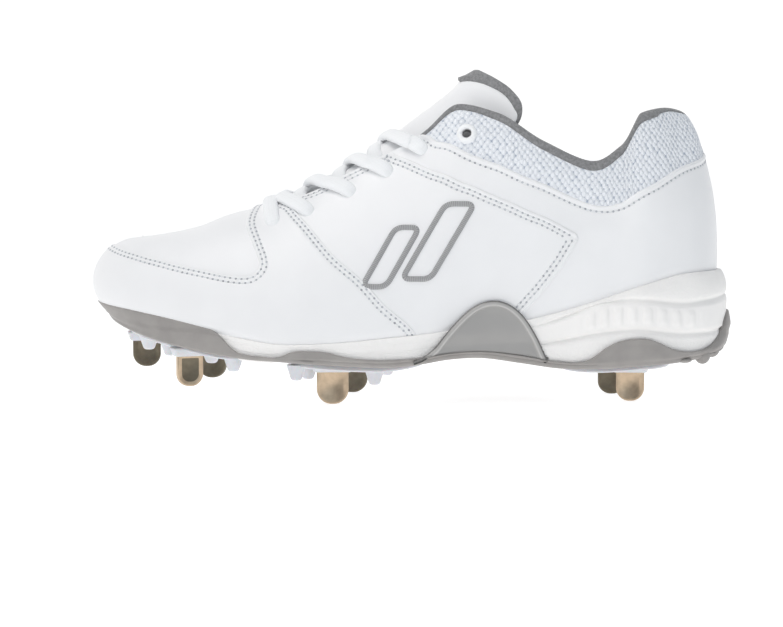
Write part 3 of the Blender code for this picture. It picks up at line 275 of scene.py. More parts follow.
def linear(code):
    """An sRGB hex value as linear red, green and blue."""
    parts = [int(code[i:i + 2], 16) / 255 for i in (0, 2, 4)]
    return tuple(c / 12.92 if c <= 0.04045 else ((c + 0.055) / 1.055) ** 2.4 for c in parts)


# Curves and the last


def ease(low, high, value):
    """Smooth step from 0 at low to 1 at high."""
    share = np.clip((np.asarray(value, float) - low) / (high - low), 0.0, 1.0)
    return share * share * (3.0 - 2.0 * share)


def hermite(start, end, start_slope, end_slope, share):
    """Cubic between two values with given slopes."""
    square, cube = share**2, share**3
    return (
        (2 * cube - 3 * square + 1) * start
        + (cube - 2 * square + share) * start_slope
        + (3 * square - 2 * cube) * end
        + (cube - square) * end_slope
    )


def curve_through(xs, values):
    """A smooth function through a table's column."""
    xs, values = np.asarray(xs, float), np.asarray(values, float)
    slopes = np.gradient(values, xs)

    def at(x):
        x = np.clip(np.asarray(x, float), xs[0], xs[-1])
        left = np.clip(np.searchsorted(xs, x) - 1, 0, len(xs) - 2)
        span = xs[left + 1] - xs[left]
        share = (x - xs[left]) / span
        return hermite(values[left], values[left + 1], slopes[left] * span, slopes[left + 1] * span, share)

    return at


def line_through(points, steps):
    """Points along a smooth open line through a few points."""
    points = np.asarray(points, float)
    index = np.arange(len(points), dtype=float)
    at = np.linspace(0.0, len(points) - 1.0, (len(points) - 1) * steps + 1)
    return np.stack([curve_through(index, column)(at) for column in points.T], axis=-1)


def softened(values, reach):
    """Points of a line, each the mean of its neighbours on both sides; the ends stay."""
    made = values.copy()
    for i in range(len(values)):
        near = min(reach, i, len(values) - 1 - i)
        made[i] = values[i - near:i + near + 1].mean(axis=0)
    return made


def bell(distance, width):
    """1 at no distance, falling softly to 0 on both sides."""
    return np.exp(-((distance / width) ** 2))


def quarter_round(share):
    """Rises from 0 to 1 as a quarter of a circle does."""
    return np.sqrt(np.clip(1.0 - (1.0 - np.clip(share, 0.0, 1.0)) ** 2, 0.0, 1.0))


def blunted(wave, power):
    """A wave between -1 and 1 with flatter ends."""
    return np.sign(wave) * np.abs(wave) ** power


def lengths(points):
    """Distances along a line to each of its points."""
    return np.concatenate([[0.0], np.cumsum(np.linalg.norm(np.diff(points, axis=0), axis=1))])


def unit(vectors):
    return vectors / np.maximum(np.linalg.norm(vectors, axis=-1, keepdims=True), 1e-9)


class Form:
    """The last as one smooth surface, by row round the shoe and share up the rib."""

    def __init__(self):
        rows = (HEEL_BACK, *LATERAL_ROWS, TOE_TIP, *MEDIAL_ROWS)
        self.count = len(rows)
        self.values = dict(zip(LAST_COLUMNS, np.array(rows, float).T))
        self.slopes = {}
        for name, column in self.values.items():
            after = np.roll(column, -1) - column
            before = np.roll(after, 1)
            agree = after * before > 0
            level = 2 * after * before / np.where(agree, after + before, 1.0)
            edge = name in ("ex", "ey", "ez")
            self.slopes[name] = np.where(agree, level, 0.0) if edge else (after + before) / 2

    def column(self, name, row):
        low = np.floor(row).astype(int)
        first, second = low % self.count, (low + 1) % self.count
        value, slope = self.values[name], self.slopes[name]
        return hermite(value[first], value[second], slope[first], slope[second], row - low)

    def spot(self, names, row):
        return np.stack([self.column(name, row) for name in names], axis=-1)

    def feather(self, row):
        """Points of the line where the upper meets the sole."""
        return self.spot(("fx", "fy", "fz"), row)

    def out(self, row):
        """Level direction away from the foot."""
        along = self.feather(row + 0.5) - self.feather(row - 0.5)
        return unit(np.stack([-along[..., 1], along[..., 0], np.zeros_like(along[..., 0])], axis=-1))

    def rib(self, row, share):
        """Points of the upper's outer face."""
        row, share = np.broadcast_arrays(np.asarray(row, float), np.asarray(share, float))
        out, up = self.out(row), np.array([0.0, 0.0, 1.0])
        feather, edge = self.feather(row), self.spot(("ex", "ey", "ez"), row)
        rise, bulge, reach, drop = (self.column(name, row)[..., None] for name in LAST_COLUMNS[6:])
        low, high = feather + rise * up + bulge * out, edge + reach * out - drop * up
        share = share[..., None]
        rest = 1.0 - share
        return rest**3 * feather + 3 * rest**2 * share * low + 3 * rest * share**2 * high + share**3 * edge

    def slants(self, row, share):
        """How the surface runs with the row and with the share."""
        share = np.clip(share, 0.005, 0.985)
        by_row = (self.rib(row + 0.06, share) - self.rib(row - 0.06, share)) / 0.12
        by_share = (self.rib(row, share + 0.005) - self.rib(row, share - 0.005)) / 0.01
        return by_row, by_share

    def normal(self, row, share):
        """Direction out of the surface, shared by both sides where they meet over the toe."""
        row, share = np.broadcast_arrays(np.asarray(row, float), np.asarray(share, float))
        by_row, by_share = self.slants(row, share)
        own = unit(np.cross(by_share, by_row))
        by_row, by_share = self.slants(LAST_ROW - row, share)
        other = unit(np.cross(by_share, by_row))
        meet = 0.5 * ease(11.8, 12.0, side_row(row)) * ease(0.9, 1.0, share)
        return unit(own + (other - own) * meet[..., None])

    def raised(self, row, share, lift):
        return self.rib(row, share) + self.normal(row, share) * np.asarray(lift, float)[..., None]


FORM = Form()
SOLE_X, SOLE_BOTTOM, SOLE_RIM = np.array(SOLE_ROWS).T
HEEL_X, HEEL_LOW, HEEL_HIGH, HEEL_FLARE = np.array(HEEL_ROWS).T
BOTTOM, RIM = curve_through(SOLE_X, SOLE_BOTTOM), curve_through(SOLE_X, SOLE_RIM)
LOW_LINE, HIGH_LINE = curve_through(HEEL_X, HEEL_LOW), curve_through(HEEL_X, HEEL_HIGH)
FLARE = curve_through(HEEL_X, HEEL_FLARE)


def side_row(row):
    """Rows counted from the heel on either side."""
    return np.where(row > TOE_ROW, LAST_ROW - row, np.abs(row))


def ring_rows(per_row):
    """Rows once round the shoe, the last one equal to the first."""
    return np.arange(int(LAST_ROW) * per_row + 1) / per_row


def seen(points):
    """Where the photograph's camera sees points, on the upright plane of the near side."""
    depth = (TARGET[1] - EYE[1]) / (points[..., 1] - EYE[1])
    return EYE[[0, 2]] + depth[..., None] * (points[..., [0, 2]] - EYE[[0, 2]])


def on_side(outline):
    """Rows and shares of an outline seen on the outer side."""
    rows, shares = np.meshgrid(np.linspace(0.0, TOE_ROW, 171), np.linspace(0.0, 1.0, 101), indexing="ij")
    sight = seen(FORM.rib(rows, shares))
    found = []
    for x, z in outline:
        aim = np.array([x, z + VIEW_DROP])
        best = np.linalg.norm(sight - aim, axis=-1).argmin()
        row, share = rows.flat[best], shares.flat[best]
        for _ in range(3):
            here = seen(FORM.rib(row, share))
            by_row = (seen(FORM.rib(row + 0.02, share)) - here) / 0.02
            by_share = (seen(FORM.rib(row, share + 0.005)) - here) / 0.005
            step = np.linalg.lstsq(np.stack([by_row, by_share], axis=1), aim - here, rcond=0.05)[0]
            row += float(np.clip(step[0], -0.06, 0.06))
            share = float(np.clip(share + np.clip(step[1], -0.01, 0.01), 0.0, 1.0))
        found.append((row, share))
    return found


def share_at(row, height):
    """Share of a rib at a height."""
    shares = np.linspace(0.0, 1.0, 201)
    return float(np.interp(height, FORM.rib(row, shares)[:, 2], shares))


class Path:
    """A smooth line of rows and shares, measured along the surface."""

    def __init__(self, spots, steps=10):
        self.spots = line_through(spots, steps) if steps > 1 else np.asarray(spots, float)
        points = FORM.rib(self.spots[:, 0], self.spots[:, 1])
        self.run = lengths(points)
        self.length = self.run[-1]

    def at(self, share):
        along = np.asarray(share) * self.length
        return np.stack([np.interp(along, self.run, column) for column in self.spots.T], axis=-1)

    def reversed(self):
        return Path(self.spots[::-1], 1)

    def mirrored(self, about):
        """The same line on the other side of a row."""
        return Path(np.stack([2 * about - self.spots[:, 0], self.spots[:, 1]], axis=1), 1)

    def joined(self, other):
        return Path(np.concatenate([self.spots, other.spots]), 1)

    def shifted(self, distance):
        """The line moved over the surface to its left, seen from outside and walking along it."""
        row, share = self.spots.T
        points, normal = FORM.rib(row, share), FORM.normal(row, share)
        left = np.cross(normal, unit(np.gradient(points, axis=0))) * distance
        by_row, by_share = FORM.slants(row, share)
        a, b = (by_row**2).sum(-1), (by_row * by_share).sum(-1)
        c, d, e = (by_share**2).sum(-1), (left * by_row).sum(-1), (left * by_share).sum(-1)
        divisor = a * c - b * b
        moved = np.stack([row + (d * c - b * e) / divisor, share + (a * e - b * d) / divisor], axis=1)
        return Path(moved, 1)


# Meshes and pieces


def to_part(points):
    """Drawing millimetres to the part's metres."""
    return (np.asarray(points) - CENTRE) * MM


def finished(bm, name):
    """The mesh of a bmesh, which is freed."""
    mesh = bpy.data.meshes.new(name)
    bm.to_mesh(mesh)
    bm.free()
    return mesh


def sheet_mesh(name, points, closed, marks=None, uv=None):
    """A mesh of quads with its vertices at an array of points; marks are values kept on them.

    Its seams are welded; a closed one is a solid whose faces are turned out.
    """
    rows, columns = points.shape[:2]
    bm = bmesh.new()
    bmesh.ops.create_grid(bm, x_segments=rows - 1, y_segments=columns - 1, size=0.5)
    mesh = finished(bm, name)
    start = np.empty(len(mesh.vertices) * 3)
    mesh.vertices.foreach_get("co", start)
    start = start.reshape(-1, 3)[:, :2]
    share = (start - start.min(0)) / (start.max(0) - start.min(0))
    i, j = np.rint(share * (rows - 1, columns - 1)).astype(int).T
    mesh.vertices.foreach_set("co", to_part(points[i, j]).ravel())
    for key, values in (marks or {}).items():
        layer = mesh.attributes.new(key, "FLOAT", "POINT")
        layer.data.foreach_set("value", np.ascontiguousarray(values[i, j], dtype=np.float32))
    if uv is not None:
        corner = np.empty(len(mesh.loops), dtype=np.int32)
        mesh.loops.foreach_get("vertex_index", corner)
        layer = mesh.uv_layers.new(name="surface")
        layer.data.foreach_set("uv", (uv[i, j] * MM)[corner].ravel())
    bm = bmesh.new()
    bm.from_mesh(mesh)
    bmesh.ops.remove_doubles(bm, verts=bm.verts, dist=0.004 * MM)
    bmesh.ops.dissolve_degenerate(bm, edges=bm.edges, dist=0.001 * MM)
    if closed:
        bmesh.ops.holes_fill(bm, edges=bm.edges, sides=0)
        bmesh.ops.recalc_face_normals(bm, faces=bm.faces)
    bm.to_mesh(mesh)
    bm.free()
    return mesh


def joined_mesh(name, meshes):
    """Several meshes as one."""
    bm = bmesh.new()
    for mesh in meshes:
        bm.from_mesh(mesh)
        bpy.data.meshes.remove(mesh)
    return finished(bm, name)


def add_piece(name, mesh, materials, replaced=(), sharp=None):
    """A finished piece on the shoe's one body."""
    piece = bpy.data.objects.new(name, mesh)
    bpy.context.scene.collection.objects.link(piece)
    for made in materials:
        mesh.materials.append(made)
    mesh.shade_smooth()
    if sharp:
        mesh.set_sharp_from_angle(angle=math.radians(sharp))
    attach(piece, "root")
    if replaced:
        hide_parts(*replaced)
    return piece


def add_wall(piece, thickness):
    """Gives a sheet its thickness, inwards."""
    wall = piece.modifiers.new("wall", "SOLIDIFY")
    wall.thickness = thickness * MM
    wall.offset = -1.0
    wall.use_even_offset = False


def faces_out(points, row, share):
    """Whether the faces over an array of points look out of the shoe."""
    i, j = points.shape[0] // 2, points.shape[1] // 2
    face = np.cross(points[i + 1, j] - points[i, j], points[i, j + 1] - points[i, j])
    return face @ FORM.normal(row[i, j], share[i, j]) > 0


def folds(points):
    """Depth of the soft folds at points of the upper, the same on both sides."""
    outer = points.copy()
    outer[..., 1] = -np.abs(outer[..., 1])
    place = seen(outer)
    depth = np.zeros(points.shape[:-1])
    for x0, z0, x1, z1, half, deep in FOLDS:
        start, run = np.array([x0, z0]), np.array([x1 - x0, z1 - z0])
        share = np.clip(((place - start) @ run) / (run @ run), 0.0, 1.0)
        away = np.linalg.norm(place - start - share[..., None] * run, axis=-1)
        depth += deep * bell(away, half) * (0.35 + 0.65 * np.sin(np.pi * share))
    return depth


def edge_shares(widths, near, far, middle):
    """Shares across a strip: lines at set distances from its two edges, and even ones between."""
    near, far = np.asarray(near, float), np.asarray(far, float)
    squeeze = np.minimum(1.0, widths / (near[-1] + far[-1] + 4.0))[:, None]
    low = squeeze * near / widths[:, None]
    high = 1.0 - squeeze * far[::-1] / widths[:, None]
    between = np.linspace(0.0, 1.0, middle + 2)[1:-1]
    centre = low[:, -1:] + (high[:, :1] - low[:, -1:]) * between
    return np.concatenate([low, centre, high], axis=1)


# Distances from a panel's edge: lines of its mesh, then rows of stitches; then heights of the panels
EDGE_LINES = (0.0, 0.1, 0.25, 0.5, 0.9, 1.3, 1.7, 2.1, 2.6, 3.2, 3.8, 4.3, 4.8, 5.5)
SEAM_ROWS, QUARTER_ROWS, COLLAR_ROWS, THROAT_ROWS = (1.6, 3.5), (2.3, 4.2), (3.1,), (2.2, 4.1)
TOE_BOX_LIFT, COUNTER_LIFT, QUARTER_LIFT, WRAP_LIFT = 0.85, 0.75, 1.3, 1.9


def edge_drop(distance, thickness, rows, rolled):
    """How far a panel's face lies under its full height near a cut edge, which may be rolled up."""
    drop = thickness * (1.0 - quarter_round(distance / 0.9))
    drop = drop - rolled * bell(distance - 1.2, 0.7)
    for row in rows:
        drop = drop + 0.26 * bell(distance - row, 0.5)
    return drop


def lift_at(row, base, lift):
    """Height of a panel over the form: less over the toe, less in the folds and tucked in at the sole."""
    rim = RIM(base[..., 0])
    tuck = 0.3 + 0.7 * ease(rim - 1.5, rim + 2.5, base[..., 2])
    return (lift * (1.0 - 0.55 * ease(14.5, TOE_ROW, side_row(row))) - folds(base)) * tuck


# Edges of the panels, outer side first; the inner side mirrors them


def panel_paths():
    """Every edge line of the leather panels on the outer side."""
    heel_share = share_at(0.0, 110.6)
    toe = on_side(TOE_WRAP_EDGE)
    slant = on_side(SLANT_EDGE)
    quarter_top = on_side(QUARTER_TOP_EDGE)
    quarter_back = on_side(QUARTER_BACK_EDGE)
    collar = on_side(COLLAR_EDGE)
    crest = [(12.25, 1.0), (12.28, 0.93)]
    return {
        "toe": Path([*crest, *toe, (16.6, 0.74), (TOE_ROW, 0.755)]),
        "slant": Path([(11.62, 1.0), (11.6, 0.95), *slant, (slant[-1][0] - 0.2, 0.0)]),
        "quarter_top": Path([(9.5, 1.0), *quarter_top]),
        "quarter_back": Path([quarter_top[-1], *quarter_back, (quarter_back[-1][0] - 0.05, 0.0)]),
        "collar": Path([(0.0, heel_share), *collar, (8.8, 0.94), (8.98, 1.0)]),
    }


# Materials


def add_node(tree, kind, inputs=None, to=None, stops=(), **settings):
    """A node with its settings and links.

    An input is a value, or a node and the name of its output. The node may lead on to the input of another,
    given as its own output, that node and the input. Stops are places and colours on a ramp.
    """
    node = tree.nodes.new(kind)
    for name, value in settings.items():
        setattr(node, name, value)
    for name, value in (inputs or {}).items():
        if isinstance(value, tuple) and isinstance(value[0], bpy.types.Node):
            tree.links.new(value[0].outputs[value[1]], node.inputs[name])
        else:
            node.inputs[name].default_value = value
    for number, (position, colour) in enumerate(stops):
        node.color_ramp.elements[number].position = position
        node.color_ramp.elements[number].color = (*colour, 1.0)
    if to:
        output, target, socket = to
        tree.links.new(node.outputs[output], target.inputs[socket])
    return node


def new_material(name, colour, roughness, **sockets):
    """A material with its plain values set, its node tree and its shader."""
    made = bpy.data.materials.get(name) or bpy.data.materials.new(name)
    made.use_nodes = True
    tree = made.node_tree
    tree.nodes.clear()
    shader = add_node(tree, "ShaderNodeBsdfPrincipled", {
        "Base Color": (*colour, 1.0), "Roughness": roughness, **sockets})
    add_node(tree, "ShaderNodeOutputMaterial", {"Surface": (shader, "BSDF")})
    return made, tree, shader


def shades(colour, low, high, dark, light):
    """Stops of a ramp from one shade of a colour to another."""
    return ((low, [c * dark for c in colour]), (high, [c * light for c in colour]))


def coated_leather(colours):
    """Split leather under a white polyurethane coat: satin, nearly smooth, with fine pores."""
    made, tree, shader = new_material("coated_leather", colours.leather, 0.42, **{
        "Coat Weight": 0.12, "Coat Roughness": 0.35})
    where = (add_node(tree, "ShaderNodeTexCoord"), "Object")
    # Pores are drawn coarser than real ones, so that they show
    pores = add_node(tree, "ShaderNodeTexVoronoi", {"Vector": where, "Scale": 1 / (0.9 * MM)})
    cloud = add_node(tree, "ShaderNodeTexNoise", {
        "Vector": where, "Scale": 1 / (14 * MM), "Detail": 3.0})
    add_node(tree, "ShaderNodeValToRGB", {"Fac": (cloud, "Fac")},
             ("Color", shader, "Base Color"), shades(colours.leather, 0.35, 0.65, 0.985, 1.0))
    add_node(tree, "ShaderNodeMapRange", {"Value": (cloud, "Fac"), "To Min": 0.36, "To Max": 0.5},
             ("Result", shader, "Roughness"))
    grain = add_node(tree, "ShaderNodeBump", {
        "Height": (pores, "Distance"), "Strength": 0.12, "Distance": 0.12 * MM})
    add_node(tree, "ShaderNodeBump", {
        "Height": (cloud, "Fac"), "Strength": 0.12, "Distance": 0.4 * MM, "Normal": (grain, "Normal"),
    }, ("Normal", shader, "Normal"))
    return made


def spacer_mesh(colours):
    """Knitted spacer mesh: plump white knots in slanting rows, with painted grey-blue shade in the gaps."""
    made, tree, shader = new_material("spacer_mesh", colours.mesh, 0.8)
    place = add_node(tree, "ShaderNodeUVMap", uv_map="surface")
    turned = add_node(tree, "ShaderNodeMapping", {
        "Vector": (place, "UV"), "Rotation": (0.0, 0.0, math.radians(45)),
        "Scale": (math.sqrt(2) / (3.0 * MM), math.sqrt(2) / (3.6 * MM), 1.0)})
    knots = add_node(tree, "ShaderNodeTexVoronoi", {
        "Vector": (turned, "Vector"), "Scale": 1.0, "Randomness": 0.3}, voronoi_dimensions="2D")
    yarn = add_node(tree, "ShaderNodeTexNoise", {
        "Vector": (turned, "Vector"), "Scale": 5.0, "Detail": 2.0})
    # Painted shade: each knot's colour turns to the grey-blue gap shade towards the edge of its cell
    add_node(tree, "ShaderNodeValToRGB", {"Fac": (knots, "Distance")},
             ("Color", shader, "Base Color"), ((0.48, colours.mesh), (0.72, colours.mesh_gap_shade)))
    dome = add_node(tree, "ShaderNodeMapRange", {
        "Value": (knots, "Distance"), "From Min": 0.1, "From Max": 0.7, "To Min": 1.0, "To Max": 0.0,
    }, interpolation_type="SMOOTHSTEP")
    threads = add_node(tree, "ShaderNodeBump", {
        "Height": (yarn, "Fac"), "Strength": 0.25, "Distance": 0.2 * MM})
    add_node(tree, "ShaderNodeBump", {
        "Height": (dome, "Result"), "Strength": 0.8, "Distance": 0.9 * MM, "Normal": (threads, "Normal"),
    }, ("Normal", shader, "Normal"))
    return made


def knit_lining(colours):
    """Brushed grey tricot: dull, with knitted loops and a soft nap."""
    made, tree, shader = new_material("knit_lining", colours.lining, 0.92, **{"Sheen Weight": 0.25})
    where = (add_node(tree, "ShaderNodeTexCoord"), "Object")
    # Nap and loops are drawn coarser than real ones, so that they show
    nap = add_node(tree, "ShaderNodeTexNoise", {
        "Vector": where, "Scale": 1 / (1.1 * MM), "Detail": 4.0})
    loops = add_node(tree, "ShaderNodeTexVoronoi", {"Vector": where, "Scale": 1 / (1.0 * MM)})
    add_node(tree, "ShaderNodeValToRGB", {"Fac": (nap, "Fac")},
             ("Color", shader, "Base Color"), shades(colours.lining, 0.3, 0.7, 0.72, 1.18))
    rough = add_node(tree, "ShaderNodeBump", {
        "Height": (nap, "Fac"), "Strength": 0.5, "Distance": 0.4 * MM})
    add_node(tree, "ShaderNodeBump", {
        "Height": (loops, "Distance"), "Strength": 0.6, "Distance": 0.35 * MM, "Normal": (rough, "Normal"),
    }, ("Normal", shader, "Normal"))
    return made


def moulded_foam(colours):
    """Moulded EVA: warm white skin, stippled by the mould where the stipple mark is set."""
    made, tree, shader = new_material("moulded_eva", colours.foam, 0.6)
    where = (add_node(tree, "ShaderNodeTexCoord"), "Object")
    mark = add_node(tree, "ShaderNodeAttribute", attribute_name="stipple")
    grit = add_node(tree, "ShaderNodeTexNoise", {
        "Vector": where, "Scale": 1 / (1.0 * MM), "Detail": 2.0})
    cloud = add_node(tree, "ShaderNodeTexNoise", {"Vector": where, "Scale": 1 / (20 * MM)})
    add_node(tree, "ShaderNodeValToRGB", {"Fac": (cloud, "Fac")},
             ("Color", shader, "Base Color"), shades(colours.foam, 0.3, 0.7, 0.97, 1.0))
    height = add_node(tree, "ShaderNodeMath", {0: (grit, "Fac"), 1: (mark, "Fac")}, operation="MULTIPLY")
    add_node(tree, "ShaderNodeBump", {
        "Height": (height, "Value"), "Strength": 0.45, "Distance": 0.7 * MM,
    }, ("Normal", shader, "Normal"))
    return made


def outsole_rubber(colours):
    """Moulded grey rubber: even, dull, with a faint bloom."""
    made, tree, shader = new_material("outsole_rubber", colours.rubber, 0.5)
    where = (add_node(tree, "ShaderNodeTexCoord"), "Object")
    bloom = add_node(tree, "ShaderNodeTexNoise", {
        "Vector": where, "Scale": 1 / (9 * MM), "Detail": 4.0})
    skin = add_node(tree, "ShaderNodeTexNoise", {"Vector": where, "Scale": 1 / (0.6 * MM)})
    add_node(tree, "ShaderNodeValToRGB", {"Fac": (bloom, "Fac")},
             ("Color", shader, "Base Color"), shades(colours.rubber, 0.3, 0.7, 0.88, 1.06))
    add_node(tree, "ShaderNodeBump", {
        "Height": (skin, "Fac"), "Strength": 0.15, "Distance": 0.15 * MM,
    }, ("Normal", shader, "Normal"))
    return made


def satin_shield(colours):
    """Injection-moulded grey TPU: satin, with painted shadow along its rim and foot, and a painted highlight
    on the ridge inside the rim.
    """
    made, tree, shader = new_material("satin_tpu", colours.shield, 0.3, **{
        "Coat Weight": 0.25, "Coat Roughness": 0.15})
    where = (add_node(tree, "ShaderNodeTexCoord"), "Object")
    flow = add_node(tree, "ShaderNodeTexNoise", {
        "Vector": where, "Scale": 1 / (16 * MM), "Detail": 2.0})
    # The rim mark paints light and shade: above zero it darkens the colour as shadow, below zero it lightens
    # it as a highlight
    rim = add_node(tree, "ShaderNodeAttribute", attribute_name="rim")
    cloud = add_node(tree, "ShaderNodeMapRange", {
        "Value": (flow, "Fac"), "To Min": 0.5, "To Max": 0.62})
    level = add_node(tree, "ShaderNodeMath", {0: (cloud, "Result"), 1: (rim, "Fac")}, operation="SUBTRACT")
    add_node(tree, "ShaderNodeValToRGB", {"Fac": (level, "Value")},
             ("Color", shader, "Base Color"), shades(colours.shield, 0.0, 1.0, 0.2, 1.7))
    add_node(tree, "ShaderNodeMapRange", {"Value": (flow, "Fac"), "To Min": 0.24, "To Max": 0.38},
             ("Result", shader, "Roughness"))
    return made


def clear_white_tpu(colours):
    """White TPU for the lug plates: bluish, glossy, letting a little light in."""
    made, tree, shader = new_material("white_tpu", colours.plastic, 0.3, **{
        "Subsurface Weight": 0.15, "Subsurface Scale": 2 * MM})
    where = (add_node(tree, "ShaderNodeTexCoord"), "Object")
    scuff = add_node(tree, "ShaderNodeTexNoise", {
        "Vector": where, "Scale": 1 / (5 * MM), "Detail": 4.0})
    add_node(tree, "ShaderNodeValToRGB", {"Fac": (scuff, "Fac")},
             ("Color", shader, "Base Color"), shades(colours.plastic, 0.3, 0.7, 0.95, 1.0))
    add_node(tree, "ShaderNodeMapRange", {"Value": (scuff, "Fac"), "To Min": 0.22, "To Max": 0.42},
             ("Result", shader, "Roughness"))
    return made


def eyelet_plastic(colours):
    """Moulded eyelet: plain bright white with a soft shine."""
    return new_material("eyelet_plastic", colours.lace, 0.35)[0]


def spike_steel(name, colour, roughness):
    """Stamped carbon steel with a warm tint: fine rolling marks and blurred reflections."""
    made, tree, shader = new_material(name, colour, roughness, Metallic=1.0)
    where = (add_node(tree, "ShaderNodeTexCoord"), "Object")
    marks = add_node(tree, "ShaderNodeTexNoise", {
        "Vector": where, "Scale": 1 / (2.5 * MM), "Detail": 5.0})
    add_node(tree, "ShaderNodeValToRGB", {"Fac": (marks, "Fac")},
             ("Color", shader, "Base Color"), shades(colour, 0.3, 0.7, 0.86, 1.06))
    add_node(tree, "ShaderNodeBump", {
        "Height": (marks, "Fac"), "Strength": 0.12, "Distance": 0.1 * MM,
    }, ("Normal", shader, "Normal"))
    return made


def braided_cord(colours):
    """Plump oval polyester lace: white and nearly smooth, with the braid only just showing."""
    made, tree, shader = new_material("woven_lace", colours.lace, 0.7, **{"Sheen Weight": 0.1})
    place = add_node(tree, "ShaderNodeUVMap", uv_map="surface")
    woven = add_node(tree, "ShaderNodeTexVoronoi", {
        "Vector": (place, "UV"), "Scale": 1 / (0.8 * MM), "Randomness": 0.3}, voronoi_dimensions="2D")
    add_node(tree, "ShaderNodeValToRGB", {"Fac": (woven, "Distance")},
             ("Color", shader, "Base Color"), shades(colours.lace, 0.3, 0.8, 1.0, 0.95))
    add_node(tree, "ShaderNodeBump", {
        "Height": (woven, "Distance"), "Strength": 0.15, "Distance": 0.2 * MM,
    }, ("Normal", shader, "Normal"), invert=True)
    return made


def sewing_thread(colours):
    """Bonded nylon thread: bright, with a twist that only shows close by."""
    made, tree, shader = new_material("sewing_thread", colours.thread, 0.55)
    where = (add_node(tree, "ShaderNodeTexCoord"), "Object")
    twist = add_node(tree, "ShaderNodeTexNoise", {"Vector": where, "Scale": 1 / (0.4 * MM)})
    add_node(tree, "ShaderNodeValToRGB", {"Fac": (twist, "Fac")},
             ("Color", shader, "Base Color"), shades(colours.thread, 0.3, 0.7, 0.9, 1.0))
    return made


def needle_shadow(colours):
    """Painted shadow in the pricked hole beside each stitch: dull grey, flecked with darker shade."""
    made, tree, shader = new_material("needle_hole_shadow", colours.needle_hole_shade, 0.9)
    where = (add_node(tree, "ShaderNodeTexCoord"), "Object")
    fleck = add_node(tree, "ShaderNodeTexNoise", {"Vector": where, "Scale": 1 / (2 * MM)})
    add_node(tree, "ShaderNodeValToRGB", {"Fac": (fleck, "Fac")},
             ("Color", shader, "Base Color"), shades(colours.needle_hole_shade, 0.3, 0.7, 0.7, 1.2))
    return made


def satin_stitch(colours):
    """Grey rayon embroidery: parallel threads across the band, with a silky shine along them."""
    made, tree, shader = new_material("satin_stitch", colours.embroidery, 0.38, **{"Sheen Weight": 0.2})
    place = add_node(tree, "ShaderNodeUVMap", uv_map="surface")
    # Threads are drawn coarser than real ones, so that they show; a wave of scale 1 has a period of 0.314
    threads = add_node(tree, "ShaderNodeTexWave", {
        "Vector": (place, "UV"), "Scale": 0.314 / (0.8 * MM), "Distortion": 0.6, "Detail": 1.0,
    }, bands_direction="X")
    add_node(tree, "ShaderNodeValToRGB", {"Fac": (threads, "Fac")},
             ("Color", shader, "Base Color"), shades(colours.embroidery, 0.1, 0.8, 0.72, 1.15))
    add_node(tree, "ShaderNodeBump", {
        "Height": (threads, "Fac"), "Strength": 0.5, "Distance": 0.2 * MM,
    }, ("Normal", shader, "Normal"))
    return made


# Settings that a user would change


class CleatSizes(bpy.types.PropertyGroup):
    """Sizes of the dressed pieces."""

    panel: bpy.props.FloatProperty(
        name="Panel", description="Thickness of a leather panel", default=0.9 * MM, unit="LENGTH")
    stitch_pitch: bpy.props.FloatProperty(
        name="Stitch pitch", description="From needle hole to needle hole", default=2.5 * MM, unit="LENGTH")
    stitch_width: bpy.props.FloatProperty(
        name="Stitch width", description="Thickness of the thread", default=0.75 * MM, unit="LENGTH")
    lace_width: bpy.props.FloatProperty(
        name="Lace width", description="Width of the flat lace", default=7.0 * MM, unit="LENGTH")
    lace_thickness: bpy.props.FloatProperty(
        name="Lace thickness", description="Thickness of the flat lace", default=3.8 * MM, unit="LENGTH")
    emblem_band: bpy.props.FloatProperty(
        name="Emblem band", description="Width of the satin stitch", default=2.6 * MM, unit="LENGTH")
    heel_rib: bpy.props.FloatProperty(
        name="Heel rib", description="Pitch of the ribs on the heel", default=6.0 * MM, unit="LENGTH")


